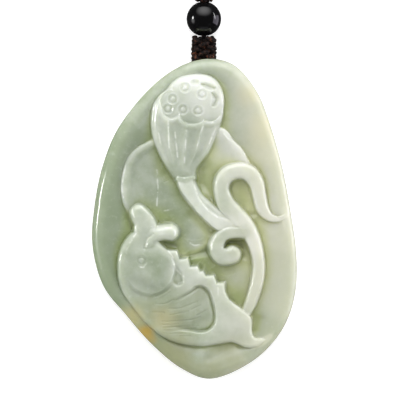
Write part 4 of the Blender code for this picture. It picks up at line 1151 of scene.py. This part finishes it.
# Thin ridges along edges, which the finish also paints whitish as highlights
RIDGE_AND_HIGHLIGHT_LINES = [
    [(-19.3, 3.3), (-19.2, 2.1), (-18.7, 0.5)], [(-16.7, 4.0), (-14.2, 1.5), (-12.9, 0.2)],
    [(-8.9, -2.8), (-7.0, -2.8)], [(-6.4, -3.5), (-5.9, -4.3), (-6.0, -5.1)],
    [(-13.2, -2.6), (-11.4, -2.3)], [(-17.9, -4.2), (-18.9, -5.7)],
    [(-19.5, -6.7), (-20.8, -9.2), (-21.4, -12.3)], [(-16.7, -15.1), (-15.7, -15.1), (-14.8, -13.9)],
    [(9.0, -3.4), (10.5, -2.9), (12.1, -2.8)], [(5.4, -9.5), (5.9, -7.0), (6.8, -5.1)],
    [(9.3, -9.5), (10.9, -10.1), (12.1, -8.7)],
    [(9.6, -19.7), (9.8, -23.3), (11.8, -26.1), (17.1, -29.8)], [(7.4, -21.4), (7.6, -23.9)],
    [(18.1, -36.7), (19.6, -37.2), (21.2, -37.3)], [(9.0, 38.7), (9.0, 35.9), (8.7, 33.1)],
    [(3.0, 44.0), (5.5, 42.8), (7.4, 40.9)], [(4.9, 29.6), (7.1, 30.9)],
    [(-0.4, 11.5), (0.5, 9.0), (1.8, 5.9), (4.6, 2.4), (7.1, 0.5)], [(-5.6, -10.0), (-4.9, -11.9)],
    [(-2.1, -12.3), (-1.8, -14.2)], [(0.9, -15.1), (1.3, -16.5)], [(6.5, -17.7), (7.2, -19.6)],
    [(-21.4, 16.8), (-22.3, 12.1), (-22.5, 9.0), (-22.0, 6.5)],
    [(13.1, 17.3), (14.6, 17.4), (15.6, 17.1)],
    [(-12.9, -4.8), (-14.2, -6.0), (-14.8, -7.3), (-15.4, -9.2)], [(-8.0, -10.0), (-6.4, -12.4)],
    [(-6.4, -14.5), (-4.9, -16.6), (-3.4, -17.9), (-3.3, -19.2)], [(-4.9, -20.2), (-3.3, -19.7)],
    [(-20.1, -24.5), (-19.7, -25.8)], [(9.0, 26.8), (10.5, 24.9), (11.8, 24.0)],
    [(-3.2, 12.6), (-1.0, 12.7)], [(-4.9, 11.8), (-4.6, 10.5)],
    [(-10.1, 2.4), (-7.6, 2.9), (-4.8, 3.7)], [(-11.7, 15.2), (-11.4, 9.6), (-11.7, 4.0)],
    [(-1.3, -7.6), (0.0, -8.4), (1.5, -8.2)]]
SPECKS = [(1.8, -36.1), (6.0, -35.1), (-19.8, -25.4), (-4.8, -20.4), (-12.6, -2.6), (-11.7, -2.5)]
SPECK_RADIUS = 0.13 * MM
SPECK_DEPTH = 0.02
FINE_WIDTH = 0.11 * MM
# Lines of one kind: their height, and their width as a multiple of the finest
FINE_LINES = [(FLANK_LINES, -0.016, 1.3), (LEAF_SCRATCHES + FIN_CREASES, -0.012, 1.0),
              ([LIP_CREASE], -0.05, 1.8), (STREAK_RIDGES + GROUND_ARCS + [FACE_EDGE], 0.014, 1.4)]
ARRIS_RISE = 0.012
ARRIS_WIDTH = 1.3 * FINE_WIDTH
RING_WIDTH = 0.22
SEED_RING = 1.85
SEED_RING_RISE = 0.012
SEED_FILL = 0.014
SEED_FILL_RADIUS = 1.4
SEED_FILL_WIDTH = 0.35
EYE_RING = 1.3
EYE_RING_DEPTH = 0.016
EYE_ASPECT = 0.85


def fine_band(x, y, line, width):
    """A soft thin stroke along a line: 1 on it, fading to 0 beside it and towards its ends."""
    depth = band_depth(x, y, [(*place, 0.1) for place in line], 6 * width)[0]
    return np.exp(-(np.maximum(0.1 * UNIT_Y - depth, 0.0) / width) ** 2)


def fine_ring(away, radius, width=RING_WIDTH):
    """A soft thin ring: 1 at its radius, fading to 0 inside and outside it."""
    return np.exp(-((away - radius) / width) ** 2)


def ridges_and_highlights(x, y):
    """Where a thin ridge runs along an edge, which the finish also paints as a highlight: 1 on it, 0 away
    from it.
    """
    return np.max([fine_band(x, y, line, ARRIS_WIDTH) for line in RIDGE_AND_HIGHLIGHT_LINES + POD_RIDGE_AND_HIGHLIGHT_LINES], axis=0)


def fine_carving(x, y):
    """The shallow lines and ridges, as a share of the relief's depth to add."""
    total = ARRIS_RISE * ridges_and_highlights(x, y)
    for lines, height, width in FINE_LINES:
        for line in lines:
            total += height * fine_band(x, y, line, width * FINE_WIDTH)
    away = np.hypot(x / UNIT_X - EYE[0], EYE_ASPECT * (y / UNIT_Y - EYE[1]))
    total -= EYE_RING_DEPTH * fine_ring(away, EYE_RING)
    for seed_x, seed_y in SEEDS:
        away = np.hypot(x - seed_x * UNIT_X, y - seed_y * UNIT_Y) / UNIT_Y
        total += SEED_RING_RISE * fine_ring(away, SEED_RING)
        total += SEED_FILL * fine_ring(away, SEED_FILL_RADIUS, SEED_FILL_WIDTH)
    for place_x, place_y in SPECKS:
        away = np.hypot(x - place_x * UNIT_X, y - place_y * UNIT_Y) / SPECK_RADIUS
        total -= SPECK_DEPTH * np.exp(-away ** 2)
    return total


print("fine carving:", sum(len(lines) for lines, height, width in FINE_LINES), "lines")

# %% [markdown]
# From heights to a mesh
#
# A fine square grid is squeezed into a disc and then stretched to the pebble's outline, so that its
# rows run along the rim and no face is cut by it. Each point of the grid takes its height from the relief.
# The rim is then rolled down by rings of points that follow the outline, the side goes straight to the
# back's rounded edge, and one face closes the flat back.

# %% Mesh of the stone
GRID_COLUMNS, GRID_ROWS = ((400, 616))
RIM_STEPS = 10
# The mesh is thinned to this many triangles where it has more
STONE_TRIANGLES = 190000


def stone_rim():
    """The stone's outline as angle, x, y and outward normal."""
    curve = stone_curve()
    tangent = np.roll(curve, -1, axis=0) - np.roll(curve, 1, axis=0)
    normal = np.stack([-tangent[:, 1], tangent[:, 0]], axis=1)
    normal /= np.linalg.norm(normal, axis=1)[:, None]
    angle = np.arctan2(curve[:, 1] / STONE_HEIGHT, curve[:, 0] / STONE_WIDTH)
    order = np.argsort(angle)
    return angle[order], np.hstack([curve, normal])[order]


def rim_rings(lip_x, lip_z, steps):
    """Insets and heights of the rings from the carved face's border to the back's edge."""
    radius = edge_radius(lip_x)
    start = np.arcsin(1 - EDGE_LIP / radius)
    rings = []
    for share in np.arange(1, steps + 1) / steps:
        turn = start + (math.pi / 2 - start) * share
        rings.append((radius * (1 - np.sin(turn)), lip_z - radius * (np.cos(start) - np.cos(turn))))
    for share in np.arange(0, steps + 1) / steps:
        turn = math.pi / 2 * share
        inset = BACK_ROUNDING * (1 - math.cos(turn))
        rings.append((inset, np.full(lip_x.shape, BACK_ROUNDING * (1 - math.sin(turn)))))
    return rings


def rim_place(angle, inset, rim):
    """Points at given angles on the outline, moved inwards by an inset."""
    angles, table = rim
    x, y, nx, ny = [np.interp(angle, angles, table[:, i], period=2 * math.pi) for i in range(4)]
    return x - inset * nx, y - inset * ny


def stone_mesh():
    """The whole stone: its carved face, rolled rim, side and flat back."""
    rim = stone_rim()
    down, across = np.linspace(-1, 1, GRID_ROWS), np.linspace(-1, 1, GRID_COLUMNS)
    rows, columns = np.meshgrid(down, across, indexing="ij")
    disc_x = columns * np.sqrt(1 - rows ** 2 / 2)
    disc_y = rows * np.sqrt(1 - columns ** 2 / 2)
    angle, radius = np.arctan2(disc_y, disc_x), np.hypot(disc_x, disc_y)
    x, y = rim_place(angle, EDGE_LIP, rim)
    x, y = (x * radius).ravel(), (y * radius).ravel()
    z = relief(x, y) + RELIEF_DEPTH * fine_carving(x, y)
    numbers = np.arange(len(x)).reshape(GRID_ROWS, GRID_COLUMNS)
    quads = [np.stack([numbers[:-1, :-1], numbers[:-1, 1:], numbers[1:, 1:], numbers[1:, :-1]], axis=-1)]
    border = np.concatenate([numbers[0, :-1], numbers[:-1, -1], numbers[-1, :0:-1], numbers[:0:-1, 0]])
    turn = angle.ravel()[border]
    points = [np.stack([x, y, z], axis=1)]
    last = border
    for inset, level in rim_rings(x[border], z[border], RIM_STEPS):
        ring_x, ring_y = rim_place(turn, inset, rim)
        ring = np.arange(len(border)) + sum(len(p) for p in points)
        points.append(np.stack([ring_x, ring_y, level], axis=1))
        quads.append(np.stack([last, ring, np.roll(ring, -1), np.roll(last, -1)], axis=-1))
        last = ring
    faces = np.concatenate([q.reshape(-1, 4) for q in quads]).tolist() + [last.tolist()]
    mesh = bpy.data.meshes.new("carved_stone")
    mesh.from_pydata(np.concatenate(points).tolist(), [], faces)
    return mesh


def applied(obj):
    """Replace an object's mesh by what its modifiers make of it."""
    evaluated = obj.evaluated_get(bpy.context.evaluated_depsgraph_get())
    mesh = bpy.data.meshes.new_from_object(evaluated)
    obj.modifiers.clear()
    obj.data = mesh
    return obj


stone = put_in_scene("carved_stone", stone_mesh())
turned_outwards(stone.data)
triangles = sum(len(face.vertices) - 2 for face in stone.data.polygons)
if triangles > STONE_TRIANGLES:
    thinner = stone.modifiers.new("fewer faces", "DECIMATE")
    thinner.ratio = STONE_TRIANGLES / triangles
    applied(stone)
print("stone:", triangles, "triangles, faces kept:", len(stone.data.polygons))

# %% [markdown]
# The hole
#
# Where no hole shows in front, a pendant hangs from two bores that slant in from the top edge and meet in a
# V. A round cutter along the thread's route takes the stone away there.

# %% Drilling the hole
BORE_DIAMETER = 1.6 * MM
BORE_RUN_OUT = 2 * MM

def round_tube(name, route, diameter, sides=20):
    """A plain round tube along a route."""
    route = np.array(route)
    along, side, up = route_frames(route)
    turn = 2 * math.pi * np.arange(sides) / sides
    rings = (route[:, None] + diameter / 2 * (np.cos(turn)[:, None] * side[:, None]
                                              + np.sin(turn)[:, None] * up[:, None]))
    return surface_mesh(name, rings)


bore_line = evened(catmull_rom(hanging_route(), 12, closed=False), 0.4 * MM)[0]
run_out = np.array([0.0, BORE_RUN_OUT, 0.0])
bore_line = np.vstack([bore_line[0] + run_out, bore_line, bore_line[-1] + run_out])
cutter = put_in_scene("hole_cutter", round_tube("hole_cutter", bore_line, BORE_DIAMETER))
drill = stone.modifiers.new("hole", "BOOLEAN")
drill.operation = "DIFFERENCE"
drill.solver = "MANIFOLD"
drill.object = cutter
applied(stone)
bpy.data.objects.remove(cutter)
stone.data.shade_smooth()
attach(stone, "root")
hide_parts("jade_plaque")
print("stone after drilling:", len(stone.data.vertices), "vertices")

# %% [markdown]
# What the finish needs to know about the carving
#
# Jade lets light in. Thin ground looks darker and greener, and thick raised forms look milky, because more
# light comes back out of them. Deep corners are painted darker and greener as shade. Three measures at every
# vertex carry that into the material: how milky the stone is there, less where painted shade falls; how far
# the place lies below the blurred relief round it, which sets the painted shade in deep corners; and whether
# a painted highlight runs along an edge there. The first is a few levels for each form, mixed at the forms'
# edges.

# %% Milk, painted shade and painted highlight at every vertex
MAP_CELL = 0.2 * MM
HOLLOW_SPREAD = 1.8 * MM
CARVED_FADE = 2 * MM
MILK_EDGE = 0.3 * MM
MILK_SPREAD = 1.2
LEAF_RIM_MILK = 0.9
STEM_MILK = 0.7
FACET_MILK = 0.84
CURL_MILK = 0.42
# How much greener the stone is on the pod's open face, and how strongly painted shade darkens and greens it
# in the hollows and along its left rim
FACE_GREEN = 0.2
FACE_GREEN_WIDTH = 0.8 * MM
FLANK_GREEN_SHADE = 0.6
GILL_GREEN_SHADE = 0.5
NOTCH_GREEN_SHADE = 2.0
RIM_SHADE = 0.22
RIM_SHADE_WIDTH = 2.4 * MM
RIM_SHADE_START = 6 * MM
# How milky the stone is at a few places of the ground and of each form: x, y, level
GROUND_MILK = [
    (-27.0, 5.0, 0.04), (-24.0, 22.0, 0.10), (-14.0, 37.0, 0.32), (3.0, 47.5, 0.24), (16.0, 36.0, 0.26),
    (24.0, 18.0, 0.10), (-26.0, -14.0, 0.03), (-12.0, -42.0, -0.08), (5.0, -46.0, 0.12),
    (24.0, -12.0, -0.03), (20.0, -34.0, -0.12), (27.0, -24.0, -0.04), (11.0, -9.0, 0.2),
    (25.0, -3.0, 0.12), (2.4, -10.4, -0.1)]
LEAF_MILK = [
    (-18.0, 12.0, -0.26), (-7.6, 7.5, -0.36), (-6.0, -2.0, -0.5), (10.0, 22.0, 0.38), (3.0, 12.0, -0.16),
    (4.3, -2.9, 0.14), (-9.0, -4.0, -0.30), (0.0, -8.0, -0.12), (8.0, 4.0, 0.04), (-16.5, 0.0, -0.33)]
POD_MILK = [
    (-2.5, 44.0, 1.2), (4.0, 38.0, 1.1), (-6.0, 36.0, 0.8), (-3.0, 26.0, 0.26), (-10.0, 24.0, 0.55),
    (5.0, 24.0, 0.55), (-2.5, 16.0, 0.22)]
SCROLL_MILK = [
    (8.4, 9.0, 0.46), (14.3, 15.2, 0.74), (20.0, 7.4, 0.62), (18.0, -5.0, 0.95), (20.2, -17.6, 0.35)]
CARP_MILK = [
    (-16.5, 0.5, 0.5), (-8.0, -4.2, 0.75), (-16.0, -7.0, 0.3), (-13.5, -15.0, 0.10), (-21.5, -18.0, 0.17),
    (-14.0, -27.0, 0.02), (-6.0, -30.0, 0.08), (-1.0, -16.0, 0.7), (7.0, -22.0, 0.65), (4.5, -29.0, 0.42),
    (-1.0, -27.0, 0.38), (9.5, -31.0, 0.48), (14.0, -34.0, 0.62), (17.0, -38.5, 0.26), (2.0, -38.5, 0.32),
    (-8.0, -36.0, 0.2)]


def softened(grid, spread):
    """A grid of values blurred by a bell curve, its width counted in cells."""
    reach = math.ceil(3 * spread)
    bell = np.exp(-0.5 * (np.arange(-reach, reach + 1) / spread) ** 2)
    bell /= bell.sum()
    edged = np.pad(grid, reach, mode="edge")
    rows = np.apply_along_axis(np.convolve, 1, edged, bell, "valid")
    return np.apply_along_axis(np.convolve, 0, rows, bell, "valid")


def looked_up(grid, low, x, y):
    """The grid's value at any place, between its cells."""
    across, down = (x - low[0]) / MAP_CELL, (y - low[1]) / MAP_CELL
    column = np.clip(across.astype(int), 0, grid.shape[1] - 2)
    row = np.clip(down.astype(int), 0, grid.shape[0] - 2)
    u, v = np.clip(across - column, 0, 1), np.clip(down - row, 0, 1)
    return ((grid[row, column] * (1 - u) + grid[row, column + 1] * u) * (1 - v)
            + (grid[row + 1, column] * (1 - u) + grid[row + 1, column + 1] * u) * v)


def store(mesh, name, values):
    """Keep one number for every vertex, under a name that a material can read."""
    layer = mesh.attributes.new(name, "FLOAT", "POINT")
    layer.data.foreach_set("value", values.astype(np.float32))


def milkiness_and_shade(x, y):
    """How milky the stone is: the forms were left in its whiter skin, the ground lies in its green heart.
    Painted shade lowers it along the left rim and in the flank hollow, the gill hollow and the pod's notches.
    """
    # Painted shade: the stone turns darker and greener towards its left rim
    near_rim = 1 - smooth_step(outline_depth(x, y, stone_curve(), MM) / RIM_SHADE_WIDTH)
    milk_and_shade = blended(x, y, GROUND_MILK) - RIM_SHADE * near_rim * smooth_step(-x / RIM_SHADE_START)
    leaf = outline_depth(x, y, closed_curve(LEAF_OUTLINE), MM)
    forms = [(leaf, blended(x, y, LEAF_MILK) + LEAF_RIM_MILK * (1 - smooth_step(leaf / LEAF_RIM_WIDTH))),
             (band_depth(x, y, POD_STEM, MM)[0], STEM_MILK),
             (band_depth(x, y, STEM_FACET, MM)[0], FACET_MILK),
             (band_depth(x, y, SCROLL, MM)[0], blended(x, y, SCROLL_MILK)),
             (band_depth(x, y, CURL, MM)[0], CURL_MILK),
             (outline_depth(x, y, closed_curve(POD_OUTLINE), MM), blended(x, y, POD_MILK)),
             (fish_form(x, y)[1], blended(x, y, CARP_MILK))]
    for inside, value in forms:
        mask = smooth_step(inside / MILK_EDGE + 0.5)
        milk_and_shade = milk_and_shade * (1 - mask) + value * mask
    milk_and_shade -= FACE_GREEN * smooth_step(face_depth(x, y) / FACE_GREEN_WIDTH + 0.2)
    # Painted shade on top of greener stone: darker in the flank hollow, the gill hollow and the pod's notches
    milk_and_shade -= scooped(x, y, FLANK_OUTLINE, FLANK_GREEN_SHADE, FLANK_FADE)
    milk_and_shade -= scooped(x, y, GILL_HOLLOW_OUTLINE, GILL_GREEN_SHADE, GILL_HOLLOW_FADE)
    return milk_and_shade - NOTCH_GREEN_SHADE * hollows(x, y, POD_HOLLOWS)


low = np.array([-STONE_WIDTH, -STONE_HEIGHT]) / 2
map_x, map_y = np.meshgrid(np.arange(low[0], -low[0] + MAP_CELL, MAP_CELL),
                           np.arange(low[1], -low[1] + MAP_CELL, MAP_CELL))
flat_map = (map_x.ravel(), map_y.ravel())
height_map = relief(*flat_map).reshape(map_x.shape)
places = np.empty(3 * len(stone.data.vertices), dtype=np.float32)
stone.data.vertices.foreach_get("co", places)
at_x, at_y, height = places.reshape(-1, 3).astype(float).T
# How far each vertex lies below the blurred relief round it: the mask of the painted shade in deep corners
sunk = looked_up(softened(height_map, HOLLOW_SPREAD / MAP_CELL) - height_map, low, at_x, at_y)
carved = smooth_step((height - BACK_ROUNDING) / CARVED_FADE)
store(stone.data, "recess_shade", sunk / RELIEF_DEPTH * carved)
milk_and_shade_map = softened(milkiness_and_shade(*flat_map).reshape(map_x.shape), MILK_SPREAD)
store(stone.data, "milk_and_shade", looked_up(milk_and_shade_map, low, at_x, at_y))
# Where the painted highlights run along edges
store(stone.data, "arris_highlight", ridges_and_highlights(at_x, at_y) * carved)
print(f"hollow from {1000 * sunk.min():.2f} to {1000 * sunk.max():.2f} mm")

# %% [markdown]
# Jade
#
# The stone is a polished, slightly see-through pale green. Subsurface scattering lets light spread inside
# it, so that edges glow and shadows stay soft. On top of that go the green of the thin ground, the milky
# white of the raised forms, a creamy side on the right, yellow and honey-coloured stains, painted shade in
# the deep corners and olive painted shade under and on the carp, slow clouds, a mottle and fine flecks. The
# polish is high but handmade, so a slow bump bends the reflections a little, and thin whitish painted
# highlights run in patches along some edges.

# %% Finish of the jade
GROUND_GREEN = (0.288, 0.335, 0.242)
GROUND_CREAM = (0.520, 0.530, 0.425)
MILK_WHITE = (0.61, 0.635, 0.580)
# The whitish colour of the painted highlights along edges
HIGHLIGHT_WHITE = (0.90, 0.91, 0.88)
MILK_CREAM = (0.615, 0.612, 0.545)
DEEP_GREEN = (0.215, 0.270, 0.165)
# Painted shade: the tint that darkens deep corners and turns them greener
RECESS_SHADE_TINT = (0.98, 1.00, 0.68)
HONEY = (0.41, 0.285, 0.062)
PALE_YELLOW = (0.52, 0.46, 0.24)
CREAM_YELLOW = (0.60, 0.57, 0.41)
# Painted shade: an olive that darkens the ground under the carp's belly and tail, and its flank
OLIVE_SHADE = (0.32, 0.33, 0.20)
# Colour of each stain, its place and reach in millimetres, and its strength; the olive patches under and on
# the carp are painted shade
STAINS = [
    (HONEY, (-8.3, -19.6), 1.5, 0.9), (HONEY, (-7.2, -20.8), 1.0, 0.6),
    (PALE_YELLOW, (-10.6, -16.8), 2.4, 0.5),
    (PALE_YELLOW, (-5.2, -17.2), 2.6, 0.5), (OLIVE_SHADE, (-2.0, -15.5), 5.0, 0.25),
    (PALE_YELLOW, (-9.0, -16.0), 4.0, 0.15), (CREAM_YELLOW, (12.1, 15.8), 3.2, 0.45),
    (CREAM_YELLOW, (9.4, 21.5), 2.6, 0.45), (OLIVE_SHADE, (-3.5, -23.6), 4.8, 0.8), (OLIVE_SHADE, (2.0, -26.0), 3.0, 0.5),
    (OLIVE_SHADE, (5.6, -23.8), 4.0, 0.5), (OLIVE_SHADE, (1.2, -12.2), 2.6, 0.2), (CREAM_YELLOW, (11.6, 11.5), 3.5, 0.2)]
STAIN_HEIGHT = 6 * MM
CREAM_REACH = 14 * MM
# How many clouds, mottles, patches of painted highlight, flecks and slow waves of the polish there are to the
# metre
CLOUDS, MOTTLES, HIGHLIGHT_PATCHES, FLECKS, POLISH_WAVES = 160, 520, 900, 1300, 420

jade = plain_material("polished_jade", GROUND_GREEN, 0.16)
tree = jade.node_tree
shader = tree.nodes["Principled BSDF"]
shader.inputs["IOR"].default_value = 1.62
shader.inputs["Subsurface Weight"].default_value = 1.0
shader.inputs["Subsurface Radius"].default_value = (1.0, 1.0, 0.8)
shader.inputs["Subsurface Scale"].default_value = 3.2 * MM

place = node(tree, "ShaderNodeTexCoord", output="Object")
milk_and_shade, recess_shade, arris_highlight = [node(tree, "ShaderNodeAttribute", {"attribute_name": name}, output="Fac")
                       for name in ("milk_and_shade", "recess_shade", "arris_highlight")]
clouds = noise(tree, place, CLOUDS, detail=3)
flecks = noise(tree, place, FLECKS, detail=3, roughness=0.6)
mottle = noise(tree, place, MOTTLES, detail=3, roughness=0.55)
glint_patches = noise(tree, place, HIGHLIGHT_PATCHES, detail=2)
across = node(tree, "ShaderNodeSeparateXYZ", None, {"Vector": place})

east = (across / CREAM_REACH + (clouds - 0.5) * 0.3).rise(-0.05, 1.05)
ground_colour = blend(tree, east, GROUND_GREEN, GROUND_CREAM)
skin_colour = blend(tree, east, MILK_WHITE, MILK_CREAM)
ground_colour = blend(tree, clouds.rise(0.45, 0.75) * 0.2, ground_colour, MILK_WHITE)
# Where the milkiness, lowered by painted shade in places, falls below zero, the ground turns a deeper green
ground_colour = blend(tree, 0 - milk_and_shade * 3, ground_colour, DEEP_GREEN)
colour = blend(tree, milk_and_shade * (0.75 + 0.5 * clouds) + (mottle - 0.5) * 0.6, ground_colour, skin_colour)
# Painted shade: places below the blurred relief round them are darkened and turned greener
colour = blend(tree, recess_shade.rise(0.01, 0.22), colour, RECESS_SHADE_TINT, mode="MULTIPLY")
colour = blend(tree, flecks.rise(0.55, 0.75) * 0.12, colour, MILK_WHITE)
# Stains, and olive patches of painted shade under and on the carp
for tint, (stain_x, stain_y), reach, strength in STAINS:
    centre = (stain_x * MM, stain_y * MM, STAIN_HEIGHT)
    offset = node(tree, "ShaderNodeVectorMath", {"operation": "SUBTRACT"}, {0: place, 1: centre})
    flatter = node(tree, "ShaderNodeVectorMath", {"operation": "MULTIPLY"}, {0: offset, 1: (1.0, 1.0, 0.3)})
    away = node(tree, "ShaderNodeVectorMath", {"operation": "LENGTH"}, {0: flatter}, output="Value")
    mask = (1 - (away / (reach * MM) + (clouds - 0.5) * 1.2).rise(0.2, 1.3)) * strength
    colour = blend(tree, mask, colour, tint)
# Painted highlight: thin whitish lines in patches along the listed edges
colour = blend(tree, arris_highlight * glint_patches.rise(0.38, 0.62) * 0.4, colour, HIGHLIGHT_WHITE)
fill(tree, shader.inputs["Base Color"], colour)
fill(tree, shader.inputs["Roughness"], 0.06 + 0.05 * clouds.rise(0.3, 0.8))
slow = noise(tree, place, POLISH_WAVES, detail=2)
bump = node(tree, "ShaderNodeBump", None, {"Height": slow, "Strength": 0.25, "Distance": 0.12 * MM})
fill(tree, shader.inputs["Normal"], bump)
stone.data.materials.clear()
stone.data.materials.append(jade)
print("jade finish:", len(tree.nodes), "nodes")
